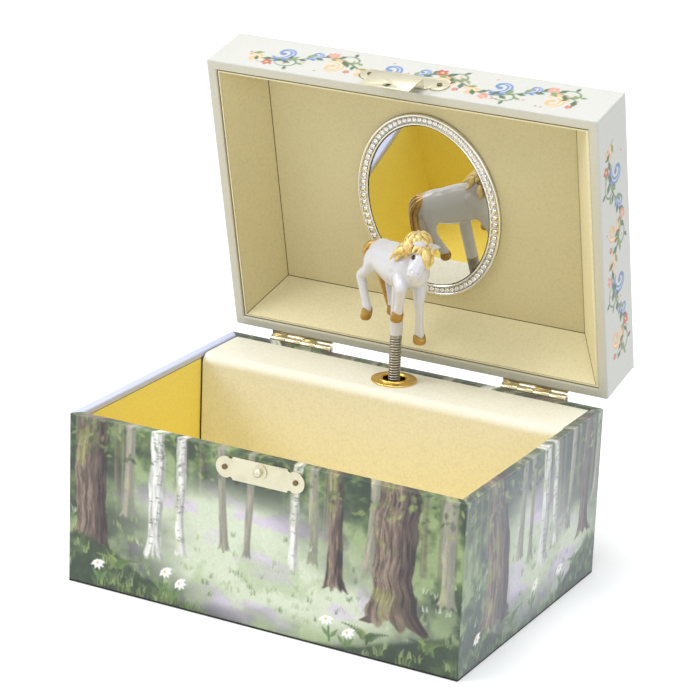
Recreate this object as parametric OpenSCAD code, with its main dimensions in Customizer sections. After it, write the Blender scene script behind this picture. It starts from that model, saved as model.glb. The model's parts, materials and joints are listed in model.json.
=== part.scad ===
// Musical jewellery box: a paper-wrapped board case with a mirrored lid, a wind-up
// movement behind a bent card cover, and a prancing horse turning on a spring.
// Millimetres. Origin: middle of the case's underside, +Z up, the front faces -Y.
// The lid is drawn open, and every piece is drawn where it stands with the lid open.

/* [Case] */
// Outside width of the case and lid
box_w = 152; // [140:1:170]
// Outside depth of the case and lid
box_d = 109.2; // [104:0.2:120]
// Height of the case up to its rim
base_h = 62.3; // [61.5:0.1:70]
// Thickness of the boards
board_t = 3; // [2.5:0.1:3.5]
// Thickness of the wrapping paper
paper_t = 0.3; // [0.2:0.05:0.4]
// Thickness of the lining paper
lining_t = 0.3; // [0.2:0.05:0.4]
// Thickness of the bottom sheet
sheet_t = 0.8; // [0.5:0.1:1.2]
// How far the wrap turns down inside the rim
turn_in = 2; // [1:0.5:4]

/* [Lid] */
// Outside height of the lid
lid_h = 23.2; // [22.8:0.1:30]
// Angle from the shut lid to the open lid
lid_open = 76; // [60:1:90]
// Gap between the two rims when shut
rim_gap = 0.3; // [0.2:0.1:1]
// Thickness of the lid's liner card
liner_t = 0.8; // [0.6:0.1:1.2]
// How far the liner's sides lean in over its depth
liner_lean = 9; // [4:0.5:12]

/* [Mirror] */
// Width of the oval mirror frame
mirror_w = 57; // [40:1:64]
// Length of the oval mirror frame
mirror_l = 73; // [50:1:80]
// Width of the frame's band
mirror_band = 4.4; // [3:0.1:6]
// How far the frame stands off the liner
mirror_h = 2.6; // [2:0.1:3.2]

/* [Movement cover] */
// Distance from the cover's front face to the inside of the back board
bay_d = 24.9; // [22.5:0.1:27]
// How far the cover's top lies below the rim
cover_drop = 0.5; // [0.3:0.1:2]
// Thickness of the cover's card
cover_t = 1.6; // [1:0.1:2]
// Outside radius of the cover's bend
cover_r = 3.5; // [2.5:0.5:6]
// Gap at each end of the cover
cover_gap = 1; // [0.5:0.1:2]

/* [Hinges] */
// Length of each hinge
hinge_l = 25.4; // [20:0.1:30]
// Distance of each hinge's middle from the box's middle
hinge_x = 47.7; // [35:0.1:52]
// Radius of the hinge barrel
barrel_r = 1.75; // [1.6:0.05:1.9]
// Radius of the hinge pin
pin_r = 0.7; // [0.5:0.05:0.8]
// Thickness of the hinge leaf
leaf_t = 0.8; // [0.6:0.1:0.9]

/* [Catch] */
// Width of the catch and latch plates
catch_w = 34; // [28:1:40]
// Height of the catch and latch plates
catch_h = 8.2; // [7:0.1:9]
// Depth of the catch plate's middle below the rim
catch_drop = 6.1; // [5.5:0.1:7]
// Height of the knob above the middle of its plate
knob_up = 1; // [0:0.1:1.4]

/* [Figure] */
// Height of the spring above the cover
spring_up = 17.5; // [14:0.5:20]
// Outside diameter of the figure's spring
spring_od = 4.5; // [4.2:0.1:5]
// Thickness of the spring's wire
spring_wire = 0.8; // [0.6:0.05:0.9]
// Heading of the horse, turned from the front towards the right
horse_turn = 60.7; // [50:0.1:70]

/* [Movement] */
// Module of the great wheel and its pinion
drive_m = 0.4; // [0.38:0.01:0.42]
// Module of the cylinder gear and its pinion
gear_m = 0.44; // [0.42:0.01:0.44]
// Module of the governor wheel
worm_m = 0.42; // [0.4:0.01:0.42]
// Radius of the pinned cylinder
cyl_r = 6.5; // [6:0.1:6.6]
// Number of teeth on the comb
comb_teeth = 18; // [12:1:20]
// Radius of the spring housing
housing_r = 10.8; // [10.4:0.1:11.2]

/* [Hidden] */
$fn = 48;
eps = 0.01;

// Case: derived places
half_w = box_w / 2;
half_d = box_d / 2;
board_out_x = half_w - paper_t;          // outer face of the side boards
board_out_y = half_d - paper_t;          // outer face of the front and back boards
board_in_x = board_out_x - board_t;      // inner face of the side boards
board_in_y = board_out_y - board_t;      // inner face of the front and back boards
well_x = board_in_x - lining_t;          // lined inside of the case
well_y = board_in_y - lining_t;
board_top = base_h - paper_t;
floor_top = sheet_t + board_t;
cover_front = board_in_y - bay_d;        // front face of the movement cover
cover_top = base_h - cover_drop;
cover_half = board_in_x - cover_gap;
well_floor = floor_top + lining_t;

// Hinges: derived places
axis_back = 2.8;                         // hinge axis behind the back face
axis_y = half_d + axis_back;
axis_z = base_h - 0.7;
knuckles = 4;
knuckle_gap = 0.15;
knuckle_l = hinge_l / knuckles;
pin_clear = 0.05;
leaf_h = 9;
web_in = 0.8;
stop_reach = 2.35;
stop_angle = -135;
nail_r = 0.4;
nail_head_r = 0.95;
nail_head_t = 0.45;
nail_l = 2.6;
nail_clear = 0.02;
hinge_nail_x = 8.2;
hinge_nail_z = 6.2;

// Lid: derived places, with the lid shut
rim_z = base_h + rim_gap;
lid_top = rim_z + lid_h;
lid_inside = lid_top - paper_t - board_t;
liner_start = rim_z + 0.6;
liner_face = lid_inside - liner_t;
mirror_face = liner_face - mirror_h;
glass_t = 1.4;

// Catch and latch
plate_t = 0.6;
catch_z = base_h - catch_drop;
knob_z = catch_z + knob_up;
knob_reach = 3;
latch_z = rim_z + 7.2;
lip_gap = 0.3;
lip_t = 0.5;
lip_w = 19;
lip_y = -half_d - plate_t - knob_reach - lip_gap;
catch_nail_x = 13.6;

// Movement: derived places. The spindle stands in the middle of the bay.
spindle_y = board_in_y - 10.9;
bed_t = 1.3;
bed_y = board_in_y - bed_t;              // front face of the bedplate
bed_half = 27;
bed_low = floor_top + 2.2;
bay_top = cover_top - cover_t;           // underside of the cover's top
bed_high = bay_top - 4.7;
great_teeth = 48;
drive_leaves = 12;
great_r = drive_m * great_teeth / 2;
drive_r = drive_m * drive_leaves / 2;
great_z = 18.5;                          // height of the winding arbor
mesh_z = great_z + great_r;              // where the great wheel drives the pinion
crown_y = spindle_y + drive_r;           // pitch plane of the great wheel's teeth
gear_teeth = 40;
gear_leaves = 10;
gear_r = gear_m * gear_teeth / 2;
gear_pin_r = gear_m * gear_leaves / 2;
governor_x = gear_r + gear_pin_r;
worm_teeth = 16;
worm_starts = 2;
worm_wheel_r = worm_m * worm_teeth / 2;
worm_r = 1.1;
worm_lead = PI * worm_m * worm_starts;
worm_x = governor_x + worm_wheel_r + worm_r;
worm_l = 6;
arbor_r = 1;
fit_gap = 0.02;
run_gap = 0.05;
gear_z = 30.6;
gear_t = 1.2;
cyl_low = 33;
bump_h = 0.45;
comb_gap = 0.1;
bridge_t = 1.4;
bridge_z = bay_top - 8.7;
cyl_high = bridge_z - 1;
worm_z = bridge_z - 10;
collar_z = bridge_z + bridge_t + 1;
collar_t = 1.2;
wheel_disc_t = 1.2;
housing_front = crown_y + drive_m * 1.25 + wheel_disc_t + 0.4;
arbor_main_r = 1.5;
fan_r = 4.2;
fan_front = spindle_y + 4.2;
fan_l = 4;
wire_x = -5.2;
wire_y = bed_y - 0.8;
wire_r = 0.45;
wire_arm_z = worm_z + fan_r + 2;
wire_top = rim_z + 4.4;
screw_r = 0.8;
screw_l = bed_t + 2.4;
comb_t = 1.2;
post_in = 17;
post_out = 25.5;

// Figure: derived places
spring_low = collar_z + collar_t;
spring_high = cover_top + spring_up;
coil_r = (spring_od - spring_wire) / 2;
plug_r = coil_r - spring_wire / 2 - 0.05;

// ---------- shared shapes ----------

// A box given by its lowest and highest corners
module block(low, high) {
  translate(low) cube(high - low);
}

// A box centred on the Z axis
module slab(half_x, half_y, low_z, high_z) {
  block([-half_x, -half_y, low_z], [half_x, half_y, high_z]);
}

// A rod along +Y from its start
module rod_y(at, r, l) {
  translate(at) rotate([-90, 0, 0]) cylinder(r = r, h = l);
}

// A rod along +X from its start
module rod_x(at, r, l) {
  translate(at) rotate([0, 90, 0]) cylinder(r = r, h = l);
}

// Moves the shut lid's pieces to the open lid
module opened() {
  translate([0, axis_y, axis_z])
    rotate([-lid_open, 0, 0])
      translate([0, -axis_y, -axis_z])
        children();
}

// Round-headed nail that points along +Y, with the underside of its head at the origin
module nail() {
  rod_y([0, 0, 0], nail_r, nail_l);
  rod_y([0, -nail_head_t, 0], nail_head_r, nail_head_t);
}

// Slotted screw that points along +Y, with the underside of its head at the origin
module screw(shank_r, shank_l, head_r, head_t) {
  difference() {
    union() {
      rod_y([0, 0, 0], shank_r, shank_l);
      rod_y([0, -head_t, 0], head_r, head_t);
    }
    block([-head_r, -head_t - eps, -0.25], [head_r, -head_t / 2, 0.25]);
  }
}

// Point of an involute flank at a given radius, turned by an angle
function flank(base_r, r, turn) =
  let (
    roll = sqrt(max(0, pow(r / base_r, 2) - 1)),
    a = roll * 180 / PI - atan(roll) + turn
  )
  [r * cos(a), r * sin(a)];

// Outline of a spur gear with involute teeth, the first tooth along +X.
// The teeth reach past the pitch circle by so many modules.
module gear_outline(m, teeth, play, reach) {
  pitch_r = m * teeth / 2;
  tip_r = pitch_r + reach * m;
  root_r = pitch_r - 1.2 * m;
  base_r = pitch_r * cos(20);
  low_r = max(base_r, root_r + 0.02);
  steps = 4;
  half_tooth = 90 / teeth - play / 2 / pitch_r * 180 / PI;
  start = half_tooth + (tan(20) * 180 / PI - 20);
  side = [for (i = [0:steps]) low_r + (tip_r - low_r) * i / steps];
  low_a = start;
  points = [for (k = [0:teeth - 1]) let (c = k * 360 / teeth) each concat(
    [[root_r * cos(c - low_a), root_r * sin(c - low_a)]],
    [for (r = side) let (p = flank(base_r, r, -start)) [
      p[0] * cos(c) - p[1] * sin(c), p[0] * sin(c) + p[1] * cos(c)]],
    [for (i = [steps:-1:0]) let (p = flank(base_r, side[i], -start)) [
      p[0] * cos(c) + p[1] * sin(c), p[0] * sin(c) - p[1] * cos(c)]],
    [[root_r * cos(c + low_a), root_r * sin(c + low_a)]]
  )];
  polygon(points);
}

// ---------- case ----------

// Space of the nails that hold the base hinge leaves
module base_hinge_nail_places() {
  for (side = [-1, 1], end = [-1, 1])
    translate([side * hinge_x + end * hinge_nail_x, half_d + leaf_t, axis_z - hinge_nail_z])
      rotate([0, 0, 180]) children();
}

// Places of the nails of a catch plate whose middle is at a given height
module catch_nail_places(z) {
  for (side = [-1, 1])
    translate([side * catch_nail_x, -half_d - plate_t, z]) children();
}

// Hole for a nail
module nail_hole() {
  rod_y([0, -eps, 0], nail_r + nail_clear, nail_l + 0.3);
}

module floor_board() {
  color("tan") slab(board_in_x, board_in_y, sheet_t, floor_top);
}

module front_board() {
  color("tan") difference() {
    block([-board_out_x, -board_out_y, sheet_t], [board_out_x, -board_in_y, board_top]);
    catch_nail_places(catch_z) nail_hole();
    rod_y([0, -half_d - plate_t, knob_z], nail_r + nail_clear, nail_l + 0.6);
  }
}

module back_board() {
  color("tan") difference() {
    block([-board_out_x, board_in_y, sheet_t], [board_out_x, board_out_y, board_top]);
    rod_y([0, board_in_y - 1, great_z], arbor_main_r + 1.5, board_t + 2);
    base_hinge_nail_places() nail_hole();
    movement_screw_places() rod_y([0, 0, 0], screw_r + fit_gap, screw_l + 0.2);
  }
}

module side_board(side) {
  x_in = side * board_in_x;
  x_out = side * board_out_x;
  color("tan") block(
    [min(x_in, x_out), -board_in_y, sheet_t],
    [max(x_in, x_out), board_in_y, board_top]);
}

module base_wrap() {
  color("darkseagreen") difference() {
    slab(half_w, half_d, sheet_t, base_h);
    difference() {
      slab(board_out_x, board_out_y, 0, board_top);
      slab(board_in_x, board_in_y, board_top - turn_in, base_h);
    }
    slab(well_x, well_y, 0, base_h + 1);
    catch_nail_places(catch_z) nail_hole();
    rod_y([0, -half_d - plate_t, knob_z], nail_r + nail_clear, nail_l);
    base_hinge_nail_places() nail_hole();
    rod_y([0, board_in_y - 1, great_z], arbor_main_r + 1.5, board_t + 2);
  }
}

module base_lining() {
  color("goldenrod") difference() {
    block([-board_in_x, -board_in_y, floor_top],
      [board_in_x, cover_front, board_top - turn_in]);
    block([-well_x, -well_y, well_floor], [well_x, cover_front + 1, base_h]);
  }
}

module bottom_sheet() {
  color("dimgray") slab(half_w - 0.2, half_d - 0.2, 0, sheet_t);
}

// Outline of the cover in Y and Z, set in from its outer face
module cover_outline(inset) {
  r = cover_r;
  y0 = cover_front + inset;
  translate([y0, 0]) square([board_in_y + 1 - y0, cover_top - r]);
  translate([cover_front + r, 0]) square([bay_d + 1 - r, cover_top - inset]);
  translate([cover_front + r, cover_top - r]) circle(r = r - inset);
}

module movement_cover() {
  color("wheat") difference() {
    rotate([90, 0, 90]) translate([0, 0, -cover_half])
      linear_extrude(2 * cover_half) difference() {
        cover_outline(0);
        cover_outline(cover_t);
      }
    translate([0, 0, -1]) slab(half_w, half_d, 0, floor_top + 1);
    block([-half_w, well_y, 0], [half_w, half_d, base_h]);
    translate([0, spindle_y, cover_top - cover_t - 1]) cylinder(r = grommet_barrel_r, h = 4);
    translate([wire_x, wire_y, cover_top - cover_t - 1]) cylinder(r = 1.1, h = 4);
  }
}

ledge_d = 5;
ledge_h = 5;
ledge_in = 32;

module cover_ledges() {
  z = cover_top - cover_t;
  color("tan") for (side = [0, 1]) mirror([side, 0, 0]) difference() {
    block([ledge_in, board_in_y - ledge_d, z - ledge_h], [cover_half, board_in_y, z]);
    block([0, well_y, board_top - turn_in], [half_w, half_d, base_h]);
  }
}

grommet_r = 8.6;
grommet_hole_r = 4.2;
grommet_barrel_r = 4.8;

module grommet() {
  color("gold") translate([0, spindle_y, cover_top]) rotate_extrude() {
    difference() {
      union() {
        translate([grommet_hole_r, 0]) square([grommet_r - grommet_hole_r - 0.6, 0.7]);
        translate([grommet_r - 0.6, 0.35]) circle(r = 0.35, $fn = 24);
        translate([grommet_r - 0.95, 0]) square([0.35, 0.7]);
        translate([grommet_hole_r + 0.9, 0.7]) circle(r = 0.55, $fn = 24);
        translate([grommet_hole_r, -cover_t - 0.9])
          square([grommet_barrel_r - grommet_hole_r - 0.05, cover_t + 1.2]);
      }
      translate([grommet_barrel_r - 0.05, -cover_t - 2]) square([9, cover_t + 2]);
    }
  }
}

// ---------- hinges, in the shut position ----------

// Where each knuckle starts along X. The lid has the first and third.
function knuckle_x(side, i) = side * hinge_x - hinge_l / 2 + i * knuckle_l;

// Knuckles and leaf of one hinge; up is 1 for the lid and -1 for the case
module hinge_leaf(side, first, up) {
  difference() {
    union() {
      for (i = [first, first + 2]) {
        x = knuckle_x(side, i) + knuckle_gap / 2;
        l = knuckle_l - knuckle_gap;
        rod_x([x, axis_y, axis_z], barrel_r, l);
        web_low = up > 0 ? barrel_r - web_in : -barrel_r;
        block([x, half_d, axis_z + web_low], [x + l, axis_y, axis_z + web_low + web_in]);
        if (up > 0)
          translate([x, axis_y, axis_z]) rotate([stop_angle + lid_open, 0, 0])
            block([0, 1, -leaf_t / 2], [l, stop_reach, leaf_t / 2]);
      }
      low = up > 0 ? rim_z : axis_z - barrel_r - leaf_h;
      high = up > 0 ? axis_z + barrel_r + leaf_h : axis_z - barrel_r + web_in;
      block([side * hinge_x - hinge_l / 2, half_d, low],
        [side * hinge_x + hinge_l / 2, half_d + leaf_t, high]);
    }
    rod_x([side * hinge_x - hinge_l, axis_y, axis_z], pin_r + pin_clear, 2 * hinge_l);
  }
}

module base_hinge_leaves() {
  color("gold") difference() {
    for (side = [-1, 1]) hinge_leaf(side, 1, -1);
    base_hinge_nail_places() translate([0, -1, 0]) nail_hole();
  }
}

module hinge_pins() {
  color("silver") for (side = [-1, 1])
    rod_x([side * hinge_x - hinge_l / 2 - 0.4, axis_y, axis_z], pin_r, hinge_l + 0.8);
}

module base_hinge_nails() {
  color("gold") base_hinge_nail_places() nail();
}

// ---------- catch on the case ----------

// Outline of a catch plate with lobed ends, in X and Z about its middle
module plate_outline() {
  body = catch_w - 11.6;
  lobe_r = catch_h / 2 - 0.3;
  lobe_x = catch_w / 2 - lobe_r;
  difference() {
    union() {
      square([body, catch_h], center = true);
      for (side = [-1, 1]) translate([side * lobe_x, 0]) circle(r = lobe_r);
      square([2 * lobe_x, catch_h - 2.4], center = true);
    }
    for (side = [-1, 1], up = [-1, 1])
      translate([side * (body / 2 + 0.2), up * catch_h / 2]) circle(r = 0.9, $fn = 24);
  }
}

// A catch plate against the front, at a given height
module plate(z) {
  translate([0, -half_d, z]) rotate([90, 0, 0]) linear_extrude(plate_t) plate_outline();
}

module catch_plate() {
  color("gold") difference() {
    plate(catch_z);
    catch_nail_places(catch_z) nail_hole();
    rod_y([0, -half_d - plate_t - 1, knob_z], nail_r + nail_clear, 3);
  }
}

module catch_knob() {
  color("gold") translate([0, -half_d - plate_t, knob_z]) rotate([90, 0, 0])
    union() {
      cylinder(r = 2.7, h = 0.45);
      cylinder(r = 1.05, h = 2.4);
      translate([0, 0, knob_reach - 1.55]) sphere(r = 1.55);
      translate([0, 0, -nail_l]) cylinder(r = nail_r, h = nail_l + 0.1);
    }
}

module catch_nails() {
  color("gold") catch_nail_places(catch_z) nail();
}

// ---------- movement ----------

// The bedplate's own screws, then those of the bridges and the governor bracket
bed_screw_x = 24;
bed_screw_in = 3;
tab_h = 5;
tab_t = 1.4;
lower_leg = 13.5;
governor_leg = 20;
lower_z = mesh_z - 3.7;                  // top of the lower bridge's plate
governor_low = gear_z - 2.7;             // underside of the governor bracket

module bed_screw_places() {
  for (side = [-1, 1], z = [bed_low + bed_screw_in, bed_high - bed_screw_in])
    translate([side * bed_screw_x, bed_y, z]) children();
}

module tab_screw_places() {
  for (side = [-1, 1])
    translate([side * lower_leg, bed_y - tab_t, lower_z - (tab_h + bridge_t) / 2]) children();
  translate([0, bed_y - tab_t, bridge_z + bridge_t + tab_h / 2 - 0.8]) children();
  translate([governor_leg, bed_y - tab_t, governor_low - (tab_h - bridge_t) / 2]) children();
}

module movement_screw_places() {
  bed_screw_places() children();
  tab_screw_places() translate([0, tab_t, 0]) children();
}

// Clear hole along +Y for a movement screw
module screw_hole() {
  rod_y([0, -1, 0], screw_r + fit_gap, screw_l + 3);
}

module bedplate() {
  color("silver") difference() {
    union() {
      block([-bed_half, bed_y, bed_low], [bed_half, board_in_y, bed_high]);
      block([-post_out, spindle_y + comb_t / 2, cyl_low], [-post_in, bed_y, cyl_high]);
    }
    rod_y([0, bed_y - 1, great_z], arbor_main_r + run_gap, bed_t + 2);
    rod_y([worm_x, bed_y - 1, worm_z], pivot_r + run_gap, 1 + pivot_l);
    movement_screw_places() screw_hole();
    comb_screw_places() rod_y([0, 0, 0], screw_r + fit_gap, comb_screw_l + 0.2);
  }
}

module movement_screws() {
  color("silver") {
    bed_screw_places() screw(screw_r, screw_l, 1.5, 0.8);
    tab_screw_places() screw(screw_r, screw_l + tab_t, 1.5, 0.8);
  }
}

pivot_r = 0.5;
pivot_l = 0.7;
housing_wall = 0.6;

module spring_housing() {
  color("gold") difference() {
    rod_y([0, housing_front, great_z], housing_r, bed_y - housing_front);
    rod_y([0, housing_front + housing_wall, great_z], housing_r - housing_wall, bed_y);
    rod_y([0, housing_front - 1, great_z], arbor_main_r + run_gap, 4);
  }
}

// Point of the mainspring's spiral after a share of its length
function spiral(t, out, turns, low_r, high_r) =
  let (r = low_r + (high_r - low_r) * t + out, a = 360 * turns * t)
  [r * cos(a), r * sin(a)];

module mainspring() {
  turns = 6;
  steps = 20 * turns;
  strip_t = 0.3;
  low_r = arbor_main_r + 0.6;
  high_r = housing_r - housing_wall - strip_t - 0.1;
  color("slategray") translate([0, bed_y - 0.1, great_z]) rotate([90, 0, 0])
    linear_extrude(bed_y - housing_front - housing_wall - 0.2) polygon(concat(
      [for (i = [0:steps]) spiral(i / steps, 0, turns, low_r, high_r)],
      [for (i = [steps:-1:0]) spiral(i / steps, strip_t, turns, low_r, high_r)]));
}

comb_screw_l = 3;

module comb_screw_places() {
  for (z = [cyl_low + 3.5, cyl_high - 3.5])
    translate([-(post_in + post_out) / 2, spindle_y - comb_t / 2, z]) children();
}

module comb() {
  tip = -(cyl_r + bump_h + comb_gap);
  low = cyl_low + 1;
  high = cyl_high - 1;
  pitch = (high - low) / comb_teeth;
  slot = 0.35;
  color("silver") difference() {
    union() {
      block([-post_out, spindle_y - comb_t / 2, low], [-post_in + 1, spindle_y + comb_t / 2, high]);
      block([-post_in, spindle_y - comb_t / 4, low], [tip, spindle_y + comb_t / 4, high]);
    }
    for (i = [1:comb_teeth - 1])
      block([-post_in + 1.5, spindle_y - comb_t, low + i * pitch - slot / 2],
        [tip + 1, spindle_y + comb_t, low + i * pitch + slot / 2]);
    comb_screw_places() rod_y([0, -1, 0], screw_r + fit_gap, comb_t + 2);
  }
}

module comb_screws() {
  color("silver") comb_screw_places() screw(screw_r, comb_screw_l, 1.5, 0.8);
}

bridge_front = spindle_y - 3.2;

module lower_bridge() {
  back = spindle_y + 1.2;
  color("silver") difference() {
    union() {
      block([-lower_leg - 2, bridge_front, lower_z - bridge_t], [lower_leg + 2, back, lower_z]);
      for (side = [-1, 1]) {
        block([side * lower_leg - 2, back - 1, lower_z - bridge_t], [side * lower_leg + 2, bed_y, lower_z]);
        block([side * lower_leg - 2, bed_y - tab_t, lower_z - tab_h], [side * lower_leg + 2, bed_y, lower_z]);
      }
      block([-3, back - tab_t, great_z - 3], [3, back, lower_z]);
    }
    translate([0, spindle_y, lower_z - pivot_l]) cylinder(r = pivot_r + run_gap, h = 4);
    rod_y([0, back - 3, great_z], arbor_r + run_gap, 6);
    tab_screw_places() screw_hole();
  }
}

module upper_bridge() {
  color("silver") difference() {
    union() {
      block([wire_x - 2, bridge_front, bridge_z], [5, bed_y, bridge_z + bridge_t]);
      block([-4, bed_y - tab_t, bridge_z], [4, bed_y, bridge_z + tab_h - 0.8]);
    }
    translate([0, spindle_y, bridge_z - 1]) cylinder(r = arbor_r + run_gap, h = bridge_t + 2);
    translate([wire_x, wire_y, bridge_z - 1]) cylinder(r = wire_r + run_gap, h = bridge_t + 2);
    tab_screw_places() screw_hole();
  }
}

governor_top = worm_z + 2.2;             // underside of the bracket's upper arm
bracket_t = 1.2;
bracket_front = spindle_y - worm_l / 2 - 2;

module governor_bracket() {
  x0 = gear_r + 0.8;
  x1 = worm_x + 2.5;
  color("silver") difference() {
    union() {
      block([x0, bracket_front - bracket_t, governor_low], [x1, bracket_front, governor_top + bracket_t]);
      block([x0, bracket_front - bracket_t, governor_low], [governor_leg + 2, bed_y, governor_low + bracket_t]);
      block([x0, bracket_front - bracket_t, governor_top], [x1, spindle_y + 2, governor_top + bracket_t]);
      block([governor_leg - 2, bed_y - tab_t, governor_low - tab_h + bridge_t],
        [governor_leg + 2, bed_y, governor_low + bracket_t]);
    }
    for (z = [governor_low + bracket_t - pivot_l, governor_top - 1])
      translate([governor_x, spindle_y, z]) cylinder(r = pivot_r + run_gap, h = 1 + pivot_l);
    rod_y([worm_x, bracket_front - pivot_l, worm_z], pivot_r + run_gap, pivot_l + 1);
    tab_screw_places() screw_hole();
  }
}

key_low = half_d + 1.8;
arbor_high = key_low + 7;

module winding_arbor() {
  color("silver") {
    rod_y([0, spindle_y - 1, great_z], arbor_r, 3.4);
    rod_y([0, spindle_y + 2.2, great_z], arbor_main_r, arbor_high - spindle_y - 2.2);
  }
}

// The great wheel's teeth stand out of its front face and drive the pinion like a rack
module great_wheel() {
  low = crown_y + 1.25 * drive_m;
  width = 0.7;
  play = 0.12;
  tooth_h = 0.65 * drive_m;
  half_t = PI * drive_m / 4 - play / 2;
  color("gold") translate([0, 0, great_z]) difference() {
    union() {
      rod_y([0, low, 0], great_r + width, wheel_disc_t);
      for (i = [0:great_teeth - 1]) rotate([0, i * 360 / great_teeth, 0])
        translate([0, 0, great_r - width]) linear_extrude(2 * width) polygon([
          [-half_t + tan(20) * tooth_h, crown_y - tooth_h],
          [half_t - tan(20) * tooth_h, crown_y - tooth_h],
          [half_t + tan(20) * (low + 0.01 - crown_y), low + 0.01],
          [-half_t - tan(20) * (low + 0.01 - crown_y), low + 0.01]
        ]);
    }
    rod_y([0, 0, 0], arbor_main_r + fit_gap, box_d);
    for (a = [45:90:315]) rotate([0, a, 0]) rod_y([5.4, 0, 0], 2.2, box_d);
  }
}

module winding_key() {
  hub_r = 2.6;
  bow_r = 4.3;
  bow_y = key_low + 9.4;
  color("gold") difference() {
    union() {
      rod_y([0, key_low, great_z], hub_r, 8.4);
      translate([0, bow_y, great_z - 0.8]) linear_extrude(1.6) difference() {
        union() {
          for (side = [-1, 1]) translate([side * bow_r, 0]) circle(r = bow_r);
          square([2 * bow_r, 2 * bow_r - 1.2], center = true);
        }
        for (side = [-1, 1]) translate([side * bow_r, 0]) circle(r = 1.9);
      }
    }
    rod_y([0, key_low - 1, great_z], arbor_main_r + fit_gap, arbor_high - key_low + 1.02);
  }
}

// Rows of bumps along the cylinder, spread round it by a fixed rule
module cylinder_bumps() {
  pitch = (cyl_high - cyl_low - 2) / comb_teeth;
  for (i = [0:comb_teeth - 1], k = [0:2])
    translate([0, 0, cyl_low + 1 + (i + 0.5) * pitch])
      rotate([0, 0, 25 + (i * 47 + k * 103) % 310])
        block([cyl_r - 0.5, -0.17, -0.17], [cyl_r + bump_h, 0.17, 0.17]);
}

// The cylinder turns with no bump under the comb while the tune is parked
module tune_cylinder() {
  color("gold") translate([0, spindle_y, 0]) rotate([0, 0, 180]) difference() {
    union() {
      translate([0, 0, cyl_low]) cylinder(r = cyl_r, h = cyl_high - cyl_low);
      cylinder_bumps();
    }
    cylinder(r = arbor_r + fit_gap, h = lid_top);
  }
}

module cylinder_arbor() {
  color("silver") translate([0, spindle_y, 0]) {
    translate([0, 0, lower_z - pivot_l + 0.1]) cylinder(r = pivot_r, h = 2);
    translate([0, 0, lower_z + 0.2]) cylinder(r = arbor_r, h = spring_low - lower_z - 0.2);
  }
}

pinion_t = 2.2;

module cylinder_pinion() {
  color("gold") translate([0, spindle_y, mesh_z - pinion_t / 2]) difference() {
    linear_extrude(pinion_t) rotate(90 + 180 / drive_leaves) gear_outline(drive_m, drive_leaves, 0.1, 0.9);
    translate([0, 0, -1]) cylinder(r = arbor_r + fit_gap, h = pinion_t + 2);
  }
}

module cylinder_gear() {
  color("gold") translate([0, spindle_y, gear_z]) difference() {
    linear_extrude(gear_t) gear_outline(gear_m, gear_teeth, 0.1, 0.6);
    translate([0, 0, -1]) cylinder(r = arbor_r + fit_gap, h = gear_t + 2);
    for (a = [0:72:288]) rotate(a) translate([5, 0, -1]) cylinder(r = 1.9, h = gear_t + 2);
  }
}

module spring_collar() {
  color("silver") translate([0, spindle_y, collar_z]) difference() {
    union() {
      cylinder(r = spring_od / 2 + 0.5, h = collar_t);
      cylinder(r = plug_r, h = collar_t + 3);
    }
    translate([0, 0, -1]) cylinder(r = arbor_r + fit_gap, h = collar_t + 1.02);
  }
}

module governor_arbor() {
  low = governor_low + bracket_t;
  color("silver") translate([governor_x, spindle_y, 0]) {
    translate([0, 0, low - pivot_l + 0.1]) cylinder(r = pivot_r, h = governor_top - low + 2 * pivot_l - 0.2);
    translate([0, 0, low + 0.2]) cylinder(r = arbor_r, h = governor_top - low - 0.4);
    translate([0, 0, gear_z - 0.1]) difference() {
      linear_extrude(gear_t + 0.2) rotate(180 + 180 / gear_leaves) gear_outline(gear_m, gear_leaves, 0.1, 0.9);
      translate([0, 0, -1]) cylinder(r = arbor_r - 0.1, h = gear_t + 3);
    }
  }
}

worm_angle = atan(worm_lead / (2 * PI * worm_r));
wheel_t = 1.4;

module governor_wheel() {
  twist = wheel_t * tan(worm_angle) / worm_wheel_r * 180 / PI;
  color("white") translate([governor_x, spindle_y, worm_z - wheel_t / 2]) difference() {
    linear_extrude(wheel_t, twist = -twist, slices = 4) rotate(-twist / 2)
      gear_outline(worm_m, worm_teeth, 0.16, 0.5);
    translate([0, 0, -1]) cylinder(r = arbor_r + fit_gap, h = wheel_t + 2);
  }
}

// Radius of the worm at a distance along its axis from the middle of a thread
function thread_r(s) =
  let (half_t = PI * worm_m / 4 - 0.08)
  min(worm_r + 0.45 * worm_m, max(worm_r - 0.7 * worm_m, worm_r + (half_t - abs(s)) / tan(20)));

module worm_shaft() {
  steps = 28;
  thread = worm_lead / worm_starts;
  color("silver") translate([worm_x, spindle_y, worm_z]) rotate([-90, 0, 0]) {
    translate([0, 0, -worm_l / 2])
      linear_extrude(worm_l, twist = -360 * worm_l / worm_lead, slices = 24)
        rotate(180 * worm_l / worm_lead + worm_phase)
          polygon([for (i = [0:steps - 1]) let (
            a = 360 * i / steps,
            s = (a * worm_starts / 360) * thread,
            near = s - thread * round(s / thread)
          ) thread_r(near) * [cos(a), sin(a)]]);
    low = bracket_front - spindle_y;
    high = bed_y - spindle_y;
    translate([0, 0, low - pivot_l + 0.1]) cylinder(r = pivot_r, h = high - low + 2 * pivot_l - 0.2);
  }
}

// Turn of the worm at which a groove faces a tooth of its wheel
worm_phase = 168;

module fan() {
  color("gold") translate([worm_x, fan_front, worm_z]) difference() {
    union() {
      rod_y([0, 0, 0], 1, fan_l);
      block([-fan_r, 0, -0.2], [fan_r, fan_l, 0.2]);
    }
    rod_y([0, -1, 0], pivot_r + fit_gap, fan_l + 2);
  }
}

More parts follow.
